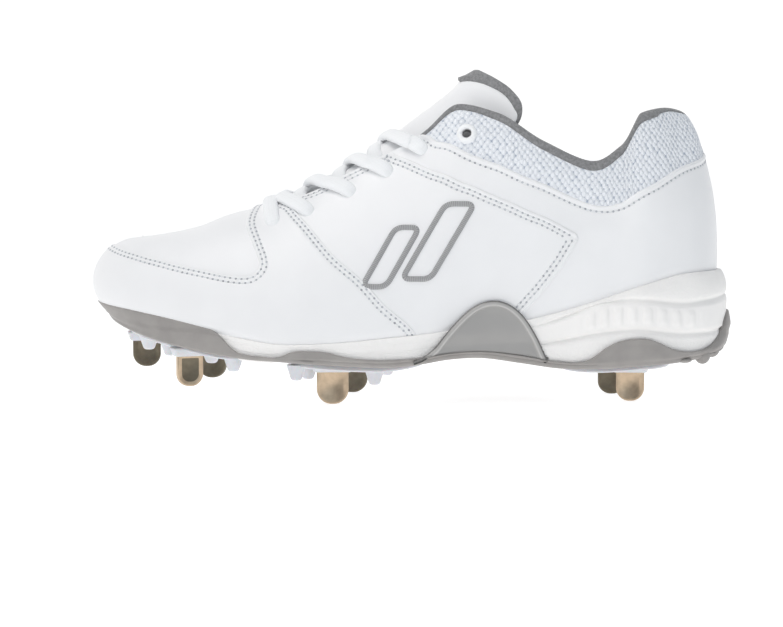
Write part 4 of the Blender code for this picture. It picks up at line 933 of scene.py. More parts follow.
class CleatColours(bpy.types.PropertyGroup):
    """Colours of the finishes, in linear light."""

    leather: bpy.props.FloatVectorProperty(
        name="Leather", description="Coat of the leather", subtype="COLOR", default=linear("F3F3F4"))
    mesh: bpy.props.FloatVectorProperty(
        name="Mesh", description="Knots of the mesh", subtype="COLOR", default=linear("F6F9FE"))
    # Painted shade that darkens the gaps between the knots
    mesh_gap_shade: bpy.props.FloatVectorProperty(
        name="Mesh gap", description="Shade between the knots", subtype="COLOR", default=linear("A6B0C0"))
    lining: bpy.props.FloatVectorProperty(
        name="Lining", description="Tricot of collar and tongue", subtype="COLOR", default=linear("8A8A8B"))
    foam: bpy.props.FloatVectorProperty(
        name="Foam", description="Skin of the midsole", subtype="COLOR", default=linear("FAF8F6"))
    rubber: bpy.props.FloatVectorProperty(
        name="Rubber", description="Outsole", subtype="COLOR", default=linear("9C9895"))
    shield: bpy.props.FloatVectorProperty(
        name="Shield", description="Arch shields", subtype="COLOR", default=linear("A09E9C"))
    plastic: bpy.props.FloatVectorProperty(
        name="Plastic", description="Lug plates", subtype="COLOR", default=linear("DFE1E6"))
    steel: bpy.props.FloatVectorProperty(
        name="Steel", description="Spikes", subtype="COLOR", default=linear("C9B399"))
    # Painted shade: a darker copy of the steel for blades and faces that lie in shade
    shaded_steel: bpy.props.FloatVectorProperty(
        name="Dark steel", description="Blackened faces of spikes", subtype="COLOR", default=linear("787061"))
    lace: bpy.props.FloatVectorProperty(
        name="Lace", description="Laces and top eyelets", subtype="COLOR", default=linear("F6F7F8"))
    thread: bpy.props.FloatVectorProperty(
        name="Thread", description="Seams", subtype="COLOR", default=linear("F0F1F3"))
    # Painted shadow: colour of the grey discs that stand for the shade inside the needle holes
    needle_hole_shade: bpy.props.FloatVectorProperty(
        name="Needle hole", description="Pricks of the seams", subtype="COLOR", default=linear("BDC0C5"))
    embroidery: bpy.props.FloatVectorProperty(
        name="Embroidery", description="Satin stitch", subtype="COLOR", default=linear("A3A3A4"))


# Upper


def wall_at(points):
    """Thickness of the upper, more where the collar is padded."""
    return WALL + COLLAR_PAD * ease(22.0, 52.0, points[..., 0]) * ease(72.0, 98.0, points[..., 2])


def shell(row, turn, lift):
    """A point of the upper's wall: outside up to turn 1, over the top edge to 2, down the inside to 3."""
    near = side_row(row)
    edge = FORM.rib(row, np.ones_like(row))
    width = wall_at(edge)
    crown = 0.5 * width * (1.0 - ease(11.5, 12.0, near))
    _, climb = FORM.slants(row, np.full_like(row, 0.98))
    top = 1.0 - crown / np.maximum(np.linalg.norm(climb, axis=-1), 1.0)
    share = np.where(turn < 1.5, np.clip(turn, 0.0, 1.0), np.clip(3.0 - turn, 0.0, 1.0)) * top
    point, normal = FORM.rib(row, share), FORM.normal(row, share)
    inward = np.where(turn >= 2.0, wall_at(point), 0.0)
    wall = point - normal * inward[..., None] + normal * (lift * np.where(turn < 1.5, 1.0, -1.0))[..., None]
    angle = np.clip(turn - 1.0, 0.0, 1.0) * math.pi
    middle = FORM.rib(row, top) - FORM.normal(row, top) * (0.5 * width)[..., None]
    over = middle + FORM.normal(row, top) * ((0.5 * width + lift) * np.cos(angle))[..., None]
    over += unit(climb) * ((crown + lift * (crown > 0.05)) * np.sin(angle))[..., None]
    return np.where(((turn > 1.0) & (turn < 2.0))[..., None], over, wall)


def shell_limits(row):
    """Where the outer sheet ends and the lining starts."""
    near = side_row(row)
    collar = 1.0 - ease(8.95, 9.2, near)
    throat = 1.0 - ease(11.55, 12.0, near)
    _, climb = FORM.slants(row, np.full_like(row, 0.98))
    shown = np.interp(near, *np.array(LINING_SHOWN).T)
    over_top = 0.5 * math.pi * (WALL + COLLAR_PAD)
    edge = 1.0 - shown / np.where(shown > 0, np.linalg.norm(climb, axis=-1), over_top)
    outer = edge * collar + (1.0 - collar) * (1.0 + throat)
    inner = (edge - 0.01) * collar + (1.0 - collar) * 2.0
    return outer, inner


def surface_uv(points):
    """Millimetres along and across a sheet, for patterns that follow it."""
    along = np.concatenate([np.zeros((points.shape[0], 1)),
                            np.cumsum(np.linalg.norm(np.diff(points, axis=1), axis=-1), axis=1)], axis=1)
    across = np.concatenate([np.zeros((1, points.shape[1])),
                             np.cumsum(np.linalg.norm(np.diff(points, axis=0), axis=-1), axis=0)], axis=0)
    level = np.median(along, axis=0)[None, :].repeat(points.shape[0], axis=0)
    return np.stack([level, across], axis=-1)


def cut_round_hole(mesh, row, radius):
    """Takes out the faces over an eyelet's hole."""
    centre = Vector(to_part(FORM.rib(row, TOP_EYELET[1])))
    axis = Vector(FORM.normal(row, TOP_EYELET[1]))
    bm = bmesh.new()
    bm.from_mesh(mesh)
    gone = []
    for face in bm.faces:
        offset = face.calc_center_median() - centre
        depth = offset.dot(axis)
        if abs(depth) < 9 * MM and (offset - axis * depth).length < radius * MM:
            gone.append(face)
    bmesh.ops.delete(bm, geom=gone, context="FACES")
    bm.to_mesh(mesh)
    bm.free()


class CLEAT_OT_upper(bpy.types.Operator):
    """Builds the mesh shell of the upper and the grey lining that rolls over its collar"""

    bl_idname = "cleat.upper"
    bl_label = "Upper and lining"

    def execute(self, context):
        colours = context.scene.cleat_colours
        rows = ring_rows(15)
        outer_end, inner_start = shell_limits(rows)
        climb = np.concatenate([np.linspace(0.0, 0.55, 12)[:-1], np.linspace(0.55, 1.0, 40)])
        row, rise = np.broadcast_arrays(rows[None, :], climb[:, None])
        turn = rise * outer_end[None, :]
        seam = np.interp(side_row(row), *panel_paths()["collar"].spots.T)
        band = np.maximum(outer_end - seam, 0.01)
        swell = np.sin(np.pi * np.clip((turn - seam) / band, 0.0, 1.0))
        puff = 1.1 * swell * (1.0 - ease(7.6, 8.6, side_row(row)))
        points = shell(row, turn, puff)
        mesh = sheet_mesh("upper_shell", points, False, uv=surface_uv(points))
        lining_climb = np.concatenate([np.linspace(0.0, 0.5, 26)[:-1], np.linspace(0.5, 1.0, 24)])
        row, fall = np.broadcast_arrays(rows[None, :], lining_climb[:, None])
        turn = inner_start[None, :] + fall * (3.0 - inner_start[None, :])
        roll = np.sin(np.pi * np.clip((turn - 0.955) / 1.1, 0.0, 1.0)) ** 0.5
        lining = sheet_mesh("collar_lining", shell(row, turn, 0.15 + 0.55 * roll), False)
        for made in (mesh, lining):
            for eyelet in (TOP_EYELET[0], LAST_ROW - TOP_EYELET[0]):
                cut_round_hole(made, eyelet, EYELET_HOLE)
        piece = add_piece("upper_shell", mesh, [spacer_mesh(colours)], ("upper",))
        add_wall(piece, 0.9)
        piece = add_piece("collar_lining", lining, [knit_lining(colours)])
        add_wall(piece, 0.7)
        return {"FINISHED"}


# Leather panels


def gap_to(path, points):
    """Distance from points of the form to an edge on it."""
    line = FORM.rib(*path.at(np.linspace(0.0, 1.0, int(path.length / 0.9) + 2)).T)
    start, run = line[:-1], np.diff(line, axis=0)
    flat = points.reshape(-1, 3)
    found = np.empty(len(flat))
    for first in range(0, len(flat), 2000):
        away = flat[first:first + 2000, None, :] - start
        share = np.clip((away * run).sum(-1) / np.maximum((run * run).sum(-1), 1e-9), 0.0, 1.0)
        found[first:first + 2000] = np.linalg.norm(away - share[..., None] * run, axis=-1).min(axis=1)
    return found.reshape(points.shape[:-1])


def add_panel(name, spots, lift, edges, thickness, finish, replaced):
    """A leather panel over rows and shares, rolled down at its cut edges and tucked in at the sole."""
    row, share = spots[..., 0], np.clip(spots[..., 1], 0.0, 1.0)
    base = FORM.rib(row, share)
    drop = np.zeros(row.shape)
    for path, rows, rolled in edges:
        own = edge_drop(gap_to(path, base), thickness + 0.2, rows, rolled)
        drop = np.where(np.abs(own) > np.abs(drop), own, drop)
    points = FORM.raised(row, share, lift_at(row, base, lift - drop))
    if not faces_out(points, row, share):
        points = points[::-1]
    piece = add_piece(name, sheet_mesh(name, points, False), [finish], replaced)
    add_wall(piece, thickness)
    return piece


def strip_spots(low, high, count, near, far, middle):
    """Spots between two long edges, closer together by the edges."""
    along = np.linspace(0.0, 1.0, count)
    first, second = low.at(along), high.at(along)
    gap = FORM.rib(*second.T) - FORM.rib(*first.T)
    across = edge_shares(np.maximum(np.linalg.norm(gap, axis=-1), 1.0), near, far, middle)
    return first[:, None, :] + (second - first)[:, None, :] * across[..., None]


def patch_spots(bottom, top, left, right, u, v):
    """Spots inside four edges that meet at their ends; the side edges bend only the lines near them."""
    low, high, start, end = bottom.at(u**3), top.at(u), left.at(v), right.at(v)
    u, v = u[..., None], v[..., None]
    start = start - (1 - v) * bottom.at(0.0) - v * top.at(0.0)
    end = end - (1 - v) * bottom.at(1.0) - v * top.at(1.0)
    return (1 - v) * low + v * high + (1 - u) ** 5 * start + u**5 * end


class CLEAT_OT_panels(bpy.types.Operator):
    """Builds the leather panels: toe box, toe wrap, quarters and heel counter"""

    bl_idname = "cleat.panels"
    bl_label = "Leather panels"

    def execute(self, context):
        finish = coated_leather(context.scene.cleat_colours)
        thick = context.scene.cleat_sizes.panel / MM
        paths = panel_paths()
        self.toe_box(finish, thick)
        self.toe_wrap(paths, finish, thick)
        self.heel_counter(paths, finish, thick)
        for side, turn in SIDES:
            self.quarter(paths, side, turn, finish, thick)
        return {"FINISHED"}

    def toe_box(self, finish, thick):
        rows, shares = np.linspace(11.75, LAST_ROW - 11.75, 301), np.linspace(0.28, 1.0, 56)
        spots = np.stack(np.meshgrid(rows, shares, indexing="ij"), axis=-1)
        add_panel("toe_box", spots, TOE_BOX_LIFT, (), thick, finish, ())

    def toe_wrap(self, paths, finish, thick):
        slant, toe = paths["slant"], paths["toe"]
        rows = np.linspace(slant.spots[-1, 0], TOE_ROW, 40)[1:]
        outer = Path(np.concatenate([slant.spots, np.stack([rows, np.zeros(39)], axis=1)]), 1)
        inner = toe.joined(toe.mirrored(TOE_ROW).reversed())
        outer = outer.joined(outer.mirrored(TOE_ROW).reversed())
        spots = strip_spots(inner, outer, 460, EDGE_LINES, EDGE_LINES, 24)
        edges = [(line, SEAM_ROWS, 0.1) for line in (inner, slant, slant.mirrored(TOE_ROW))]
        add_panel("toe_wrap", spots, WRAP_LIFT, edges, thick, finish, ("toe_wrap",))

    def heel_counter(self, paths, finish, thick):
        half = Path([(9.75, 1.0), (9.4, 1.0)], 1).joined(paths["collar"].reversed())
        top = half.joined(half.mirrored(0.0).reversed())
        low = Path(np.stack([np.linspace(9.75, -9.75, 61), np.zeros(61)], axis=1), 1)
        spots = strip_spots(low, top, 421, (0.0, 1.0), EDGE_LINES, 50)
        edges = [(top, COLLAR_ROWS, 0.5)]
        add_panel("heel_counter", spots, COUNTER_LIFT, edges, thick, finish, ("heel_counter",))

    def quarter(self, paths, side, turn, finish, thick):
        top, back = paths["quarter_top"], paths["quarter_back"]
        left = Path(paths["slant"].spots[::-1] + (0.3, 0.0), 1)
        throat = Path([tuple(left.spots[-1]), (10.9, 1.0), (10.0, 1.0), tuple(top.spots[0])])
        bottom = Path(np.linspace(left.spots[0], back.spots[-1], 20), 1)
        u = edge_shares(np.full(1, 110.0), (0.0, 1.5), EDGE_LINES, 70)[0]
        v = edge_shares(np.full(1, 80.0), (0.0, 1.5), EDGE_LINES, 50)[0]
        along, across = np.meshgrid(u, v, indexing="ij")
        spots = patch_spots(bottom, throat.joined(top), left, back.reversed(), along, across)
        spots = spots * (turn, 1.0)
        edges = [(top, QUARTER_ROWS, 0.3), (back, QUARTER_ROWS, 0.3), (throat, THROAT_ROWS, 0.0)]
        edges = [(path if turn > 0 else path.mirrored(0.0), *rest) for path, *rest in edges]
        name = "quarter_" + side
        add_panel(name, spots, QUARTER_LIFT, edges, thick, finish, (name,))


# Stitching and emblem


def seam_lines():
    """Each line of stitches on both sides, with the height of the panel that it holds down."""
    paths = panel_paths()
    throat = Path([(11.3, 1.0), (10.6, 1.0), (10.0, 1.0), (9.56, 1.0)])
    seams = [
        (paths["toe"], SEAM_ROWS, 1.0, WRAP_LIFT, 0.0),
        (paths["slant"], SEAM_ROWS, -1.0, WRAP_LIFT, 0.0),
        (paths["quarter_top"], QUARTER_ROWS, -1.0, QUARTER_LIFT, 1.25),
        (paths["quarter_back"].reversed(), QUARTER_ROWS, 1.0, QUARTER_LIFT, 1.25),
        (paths["collar"], COLLAR_ROWS, 1.0, COUNTER_LIFT, 0.0),
        (throat, THROAT_ROWS, -1.0, QUARTER_LIFT, 0.0),
    ]
    for path, rows, hand, lift, trim in seams:
        for distance in rows:
            moved = path.shifted(hand * distance)
            end = 1.0 - trim * distance / moved.length
            spots = moved.at(np.linspace(0.0, end, 200))
            spots = spots[(spots[:, 1] < 0.985) & (spots[:, 1] > 0.02)]
            yield Path(spots, 1), lift
            yield Path(spots, 1).mirrored(0.0), lift


def frame_at(path, along, lift):
    """Points on the form at places along a path, with the directions along, across and out."""
    row, share = path.at(along).T
    after, before = (path.at(np.clip(along + step, 0.0, 1.0)) for step in (0.002, -0.002))
    ahead = FORM.rib(*after.T) - FORM.rib(*before.T)
    normal = FORM.normal(row, share)
    base = FORM.rib(row, share)
    points = base + normal * lift_at(row, base, lift)[:, None]
    along_way = unit(ahead)
    return points, along_way, unit(np.cross(normal, along_way)), normal


def placing(point, axes, sizes):
    """A matrix that puts a unit shape at a point with its axes along three directions."""
    matrix = Matrix.Identity(4)
    for column, (axis, size) in enumerate(zip(axes, sizes)):
        for line in range(3):
            matrix[line][column] = axis[line] * size * MM
    matrix.translation = Vector(to_part(point))
    return matrix


class CLEAT_OT_stitching(bpy.types.Operator):
    """Sews the seams: a thread between each pair of needle holes"""

    bl_idname = "cleat.stitching"
    bl_label = "Stitching"

    def execute(self, context):
        colours, sizes = context.scene.cleat_colours, context.scene.cleat_sizes
        pitch, width = sizes.stitch_pitch / MM, sizes.stitch_width / MM
        thread, prick = (0.66 * pitch, width, 0.5 * width), (1.15, 1.0, 0.22)
        threads, holes = [], []
        for path, lift in seam_lines():
            count = max(int(path.length / pitch), 2)
            middles, ends = (np.arange(count) + 0.5) / count, np.arange(count + 1) / count
            threads.append(self.beads(frame_at(path, middles, lift - 0.1), thread))
            # Grey discs at the stitch ends paint the shadow inside each needle hole
            holes.append(self.beads(frame_at(path, ends, lift - 0.07), prick))
        mesh = joined_mesh("stitches", threads)
        add_piece("stitches", mesh, [sewing_thread(colours)])
        mesh = joined_mesh("needle_hole_shadows", holes)
        add_piece("needle_hole_shadows", mesh, [needle_shadow(colours)])
        return {"FINISHED"}

    def beads(self, frames, sizes):
        """One small rounded bead at each place along a seam."""
        bm = bmesh.new()
        for point, *axes in zip(*frames):
            spot = placing(point, axes, sizes)
            bmesh.ops.create_uvsphere(bm, u_segments=7, v_segments=4, radius=0.5, matrix=spot)
        return finished(bm, "seam")


class CLEAT_OT_emblem(bpy.types.Operator):
    """Embroiders a plain pair of slanting bars on each quarter"""

    bl_idname = "cleat.emblem"
    bl_label = "Embroidered bars"

    def execute(self, context):
        finish = satin_stitch(context.scene.cleat_colours)
        half = context.scene.cleat_sizes.emblem_band / MM / 2
        for side, turn in SIDES:
            bands = [self.band(corners, turn, half) for corners in EMBLEM_BARS]
            name = "embroidered_bars_" + side
            mesh = joined_mesh(name, [sheet_mesh(name, points, True, uv=uv) for points, uv in bands])
            add_piece(name, mesh, [finish])
        return {"FINISHED"}

    def band(self, corners, turn, half):
        """A raised band of satin stitch round a bar, closed on itself."""
        outline = self.rounded(np.array(corners), 2.6)
        spots = np.array(on_side(outline)) * (turn, 1.0)
        path = Path(np.concatenate([spots, spots[:1]]), 1)
        along = np.linspace(0.0, 1.0, 221)
        angles = np.linspace(0.0, math.tau, 13)
        points, _, across, normal = frame_at(path, along, QUARTER_LIFT - 0.25)
        across[0] = across[-1] = unit(across[0] + across[-1])
        swell = half * np.cos(angles)[None, :, None] * across[:, None, :]
        rise = np.where(np.sin(angles) > 0, 1.15, 0.3) * np.sin(angles)
        ring = points[:, None, :] + swell + rise[None, :, None] * normal[:, None, :]
        uv = np.stack(np.broadcast_arrays(along[:, None] * path.length, half * angles[None, :]), axis=-1)
        return ring, uv

    def rounded(self, corners, radius):
        """A closed outline with arcs at its corners."""
        points = []
        for i, corner in enumerate(corners):
            into, out_of = unit(corners[i - 1] - corner), unit(corners[(i + 1) % len(corners)] - corner)
            for share in np.linspace(0.0, 1.0, 7):
                start, end = corner + into * radius * 1.4, corner + out_of * radius * 1.4
                points.append((1 - share) ** 2 * start + 2 * share * (1 - share) * corner + share**2 * end)
            for share in np.linspace(0.0, 1.0, 8)[1:-1]:
                reach = corners[(i + 1) % len(corners)] - out_of * radius * 1.4
                points.append((corner + out_of * radius * 1.4) * (1 - share) + reach * share)
        return points


# Tongue, eyelets and laces


def tongue_column(name, along):
    index = np.arange(len(TONGUE_ROWS), dtype=float)
    values = np.array([row[TONGUE_COLUMNS.index(name)] for row in TONGUE_ROWS])
    return curve_through(index, values)(along)


def tongue_face(along, across, back):
    """Points of the tongue's front face, or of its back face where back is 1."""
    x, z, half, curl, lean, thick = (tongue_column(name, along) for name in TONGUE_COLUMNS)
    lean = np.radians(lean)
    zero = np.zeros_like(lean)
    turn = np.stack([np.cos(lean), zero, -np.sin(lean)], axis=-1)
    front = np.stack([x, half * across, z], axis=-1) + turn * (curl * np.abs(across) ** 1.8)[..., None]
    depth = thick * (0.45 + 0.55 * (1 - np.abs(across) ** 3))
    behind = turn * depth[..., None] + np.stack([zero, -0.8 * across, zero], axis=-1)
    return front + behind * np.asarray(back, float)[..., None]


class CLEAT_OT_tongue(bpy.types.Operator):
    """Builds the padded tongue, with grey lining behind it and over its top edge"""

    bl_idname = "cleat.tongue"
    bl_label = "Tongue"

    def execute(self, context):
        colours = context.scene.cleat_colours
        end = len(TONGUE_ROWS) - 1.0
        along = np.concatenate([np.linspace(0.0, 6.0, 60)[:-1], np.linspace(6.0, end, 80)])
        turn = np.linspace(0.0, math.tau, 81)
        across, back = self.section(turn)
        s, a = np.broadcast_arrays(along[:, None], across[None, :])
        points = tongue_face(s, a, np.broadcast_to(back[None, :], s.shape))
        mesh = sheet_mesh("tongue", points, True)
        piece = add_piece("tongue", mesh, [coated_leather(colours)], ("tongue",))
        mesh = joined_mesh("tongue_lining", [self.back(end), self.roll(end)])
        add_piece("tongue_lining", mesh, [knit_lining(colours)])
        return {"FINISHED"}

    def section(self, turn):
        """A closed section with rounded edges: places across the tongue and through its thickness."""
        return blunted(np.cos(turn), 0.75), 0.5 - 0.5 * blunted(np.sin(turn), 0.45)

    def back(self, end):
        """Grey lining behind the tongue."""
        s, a = np.meshgrid(np.linspace(1.0, end - 0.6, 70), np.linspace(-0.97, 0.97, 41), indexing="ij")
        return sheet_mesh("tongue_back", tongue_face(s, a, np.full(s.shape, 1.06)), False)

    def roll(self, end):
        """Grey lining rolled round the tongue's edge: deep over the top, narrow down the sides."""
        along = np.concatenate([np.linspace(4.0, end - 2.0, 70)[:-1], np.linspace(end - 2.0, end, 60)])
        crest = np.stack([tongue_column("x", along), tongue_column("z", along)], axis=-1)
        rise = lengths(crest)
        half = tongue_column("half", along)
        side = np.stack([-half, rise], axis=1)
        outline = np.concatenate([side, side[-2::-1] * (-1.0, 1.0)])
        ahead = unit(np.gradient(outline, axis=0))
        inward = np.stack([ahead[:, 1], -ahead[:, 0]], axis=1)
        below = rise[-1] - outline[:, 1]
        top = 1.0 - ease(5.0, 15.0, below)
        middle = bell(outline[:, 0], 8.0)
        deep = 2.0 - 1.7 * ease(5.0, 14.0, below) + 2.6 * (1.0 - ease(-1.0, 7.0, below)) + 4.5 * middle

        def face(inset, back):
            flat = outline + inward * np.broadcast_to(inset, len(outline))[:, None]
            place = np.interp(flat[:, 1], rise, along)
            across = np.clip(flat[:, 0] / tongue_column("half", place), -1.0, 1.0)
            return tongue_face(place, across, np.broadcast_to(back, len(place)))

        out = unit(face(0.0, 0.5) - face(2.0, 0.5))
        lines = []
        for inset, back, push in ROLL_LINES:
            lines.append(face(deep * inset, 0.42 + (back - 0.42) * top - push * middle))
        for turn in np.linspace(0.0, math.pi, 11):
            angle = turn + 0.5 * (math.pi - turn) * (1.0 - top)
            swell = np.sin(angle)
            lines.append(face(0.9 - 0.9 * swell, 0.5 - 0.66 * np.cos(angle)) + out * (0.8 * swell)[:, None])
        lines += [face(3.0, 1.14), face(6.0, 1.02)]
        return sheet_mesh("tongue_roll", np.stack(lines, axis=1)[::-1], False)


class CLEAT_OT_eyelets(bpy.types.Operator):
    """Builds the moulded top eyelets, which stay empty"""

    bl_idname = "cleat.eyelets"
    bl_label = "Eyelets"

    def execute(self, context):
        finish = eyelet_plastic(context.scene.cleat_colours)
        for side, turn in SIDES:
            name = "top_eyelet_" + side
            add_piece(name, self.ring(name, turn * TOP_EYELET[0]), [finish], (name,))
        return {"FINISHED"}

    def ring(self, name, row):
        """A ring turned from its section and set on the upper."""
        share = TOP_EYELET[1]
        bm = bmesh.new()
        verts = [bm.verts.new((radius, 0.0, z)) for radius, z in EYELET_SECTION]
        edges = [bm.edges.new(pair) for pair in zip(verts, [*verts[1:], verts[0]])]
        bmesh.ops.spin(bm, geom=[*verts, *edges], cent=(0, 0, 0), axis=(0, 0, 1), steps=32, angle=math.tau,
                       use_merge=True)
        bmesh.ops.remove_doubles(bm, verts=bm.verts, dist=0.001)
        bmesh.ops.recalc_face_normals(bm, faces=bm.faces)
        normal = FORM.normal(row, share)
        side = unit(np.cross(normal, (0.0, 0.0, 1.0)))
        axes = (side, np.cross(normal, side), normal)
        spot = placing(FORM.rib(row, share) + normal * EYELET_LIFT, axes, (1, 1, 1))
        bmesh.ops.transform(bm, matrix=spot, verts=bm.verts)
        return finished(bm, name)


class CLEAT_OT_laces(bpy.types.Operator):
    """Threads the lace: a bar at the vamp, then crossings that go over one eyestay and under the other"""

    bl_idname = "cleat.laces"
    bl_label = "Laces"

    def execute(self, context):
        sizes = context.scene.cleat_sizes
        half, thick = sizes.lace_width / MM / 2, sizes.lace_thickness / MM / 2
        routes = [(*self.bar(), True)]
        for number in range(1, len(LACE_EYELETS)):
            for hand in (1.0, -1.0):
                routes.append((*self.crossing(number, hand), False))
        mesh = joined_mesh("laces", [self.tube(*route, half, thick) for route in routes])
        add_piece("laces", mesh, [braided_cord(context.scene.cleat_colours)], ("laces",))
        return {"FINISHED"}

    def over(self, row, share, height):
        """A stop over the eyestay, with its normal."""
        return FORM.rib(row, share) + FORM.normal(row, share) * height, FORM.normal(row, share)

    def climb(self, number, hand, height):
        """Stops from inside an eyelet up to where the lace passes the eyestay's edge."""
        (row, share), edge = LACE_EYELETS[number], LACE_ROWS[number]
        stops = []
        for part, rise in (*LACE_CLIMB, (0.45, height - 0.2), (0.75, height), (1.0, height)):
            here = share + (EYESTAY_EDGE - share) * part
            stops.append(self.over(hand * (row + (edge - row) * part), here, rise))
        return stops

    def bar(self):
        """Straight across at the vamp, into both eyelets."""
        stops = [*self.climb(0, 1.0, 2.8), *reversed(self.climb(0, -1.0, 2.8))]
        return [point for point, _ in stops], [normal for _, normal in stops]

    def crossing(self, number, hand):
        """Out of an eyelet, over its eyestay and the tongue, and down under the other eyestay."""
        stops = self.climb(number, hand, 3.1)
        x, z = LACE_CRESTS[number]
        crest = np.array([x, -4.0 * hand, z]) - np.array([4.5, 0.0, 5.0]) * (hand < 0)
        fall = crest + (-2.5, 9.0 * hand, -3.2)
        far = min(LACE_ROWS[number] + 0.5, 11.6)
        edge, normal = self.over(-hand * far, EYESTAY_EDGE, LACE_UNDER)
        under, _ = self.over(-hand * (far + 0.1), 0.9, LACE_UNDER)
        stops[-2:] = [(point, unit(own + CREST)) for point, own in stops[-2:]]
        stops += [(crest, CREST), (fall, CREST), (edge, normal), (under, normal)]
        return [point for point, _ in stops], [normal for _, normal in stops]

    def tube(self, stops, normals, both, half, thick):
        """An oval cord along a smooth line, drawn in where an eyelet grips its first end or both ends."""
        points, ups = softened(line_through(stops, 9), 4), unit(softened(line_through(normals, 9), 8))
        ahead = unit(np.gradient(points, axis=0))
        side = unit(np.cross(ahead, ups))
        up = np.cross(side, ahead)
        angles = np.linspace(0.0, math.tau, 25)
        wide, high = half * blunted(np.cos(angles), 0.8), thick * blunted(np.sin(angles), 0.8)
        run = lengths(points)
        free = np.minimum(run, run[-1] - run) if both else run
        grip = 0.45 + 0.55 * quarter_round((free - 2.0) / 6.0)
        rings = points[:, None, :] + wide[None, :, None] * (side * grip[:, None])[:, None, :]
        rings = rings + high[None, :, None] * up[:, None, :]
        around = (half + thick) * 1.6 * angles / math.pi
        uv = np.stack(np.broadcast_arrays(run[:, None], around[None, :]), axis=-1)
        return sheet_mesh("lace", rings, True, uv=uv)


# Sole


def beside(row, height, distance):
    """Points so far outside the upper at a height, or straight below its feather line."""
    row, height, distance = np.broadcast_arrays(row, height, distance)
    low, high = np.zeros(row.shape), np.full(row.shape, 0.7)
    for _ in range(16):
        middle = 0.5 * (low + high)
        above = FORM.rib(row, middle)[..., 2] > height
        low, high = np.where(above, low, middle), np.where(above, middle, high)
    points = FORM.rib(row, low)
    points[..., 2] = height
    return points + FORM.out(row) * distance[..., None]


def midsole_side(rows, carved=1.0):
    """Heights, distances outside the upper and stipple of the midsole's side, line by line."""
    feather, out = FORM.feather(rows), FORM.out(rows)
    x, foot = feather[:, 0], feather[:, 2]
    flare, rim = FLARE(x), np.maximum(RIM(x), foot + 1.0)
    base = np.minimum(BOTTOM(x - out[:, 0]) + PLATE + GAP, foot - 1.4)
    base = base - LOBE[2] * ease(LOBE[0], LOBE[0] + 6, x) * (1 - ease(LOBE[1] - 6, LOBE[1], x))
    corner = base + 0.9
    heel = ease(*HEEL_LINES_FROM, x)
    low = (1 - heel) * (corner + 0.35 * (rim - corner)) + heel * LOW_LINE(x)
    high = (1 - heel) * (corner + 0.75 * (rim - corner)) + heel * HIGH_LINE(x)
    high = np.minimum(high, rim - 0.9)
    half = np.minimum(0.03 * (rim - corner) + 0.45 * heel, 0.2 * (high - low))
    groove = 1.5 * heel * carved * (1 - 0.6 * ease(124.0, 132.0, x))
    rim_out = np.minimum(RIM_OUT + HEEL_RIM_OUT * ease(112.0, 134.0, x), flare)
    top_groove = groove * ease(1.0, 3.0, rim - high)
    belt, shoulder = flare + 0.3 * heel, 0.6 * flare + 0.4 * rim_out
    waist = 0.8 * flare + 0.2 * rim_out
    lines = [(base, flare - 1.6, 0), (base + 0.12, flare - 1.0, 0), (base + 0.42, flare - 0.35, 0),
             (corner, flare - 0.05, 1)]
    for share in (0.2, 0.4, 0.6, 0.8):
        swell = 0.35 * heel * math.sin(math.pi * share)
        lines.append((corner + share * (low - half - corner), flare + swell, 1))
    lines += [(low - half, flare - 0.1 * heel, 1), (low - 0.4 * half, flare - 0.75 * groove, 0),
              (low, flare - groove, 0), (low + 0.4 * half, flare - 0.65 * groove, 0), (low + half, belt, 0)]
    for share in (0.08, 0.18, 0.3, 0.4, 0.5, 0.6, 0.7, 0.82, 0.92):
        band = belt + share * (waist - belt)
        band = band + heel_ribs(rows, heel * carved) * ease(0.1, 0.26, share) * ease(0.1, 0.26, 1 - share)
        lines.append((low + half + share * (high - low - 2 * half), band, 1 - heel))
    half = np.minimum(half, 0.3 * (rim - high))
    lines += [(high - half, waist, 0), (high - 0.4 * half, waist - 0.65 * top_groove, 0),
              (high, waist - top_groove, 0), (high + 0.4 * half, shoulder - 0.7 * top_groove, 0),
              (high + half, shoulder, 1)]
    for share in (0.08, 0.18, 0.3, 0.45, 0.6, 0.75, 0.88):
        swell = 1.0 * heel * ease(1.0, 6.0, rim - high) * math.sin(math.pi * share) ** 0.7
        level = high + half + share * (rim - 0.3 - high - half)
        lines.append((level, shoulder + share * (rim_out - shoulder) + swell, 1))
    lines += [(rim - 0.25, rim_out - 0.05, 1), (rim, rim_out - 0.4, 1), (rim + 0.05, rim_out - 0.9, 0)]
    return [np.stack(np.broadcast_arrays(*column)) for column in zip(*lines)]


def heel_ribs(rows, heel):
    """Plain upright ribs round the heel's middle band."""
    run = FORM.feather(rows)
    x, length = run[:, 0], lengths(run)
    pitch = bpy.context.scene.cleat_sizes.heel_rib / MM
    count = max(round(length[-1] / pitch), 1)
    wave = np.cos(math.tau * count * length / length[-1])
    shown = ease(72.0, 75.0, x) * (1 - ease(121.0, 124.0, x))
    return 0.95 * ease(-0.25, 0.25, wave) * shown * heel


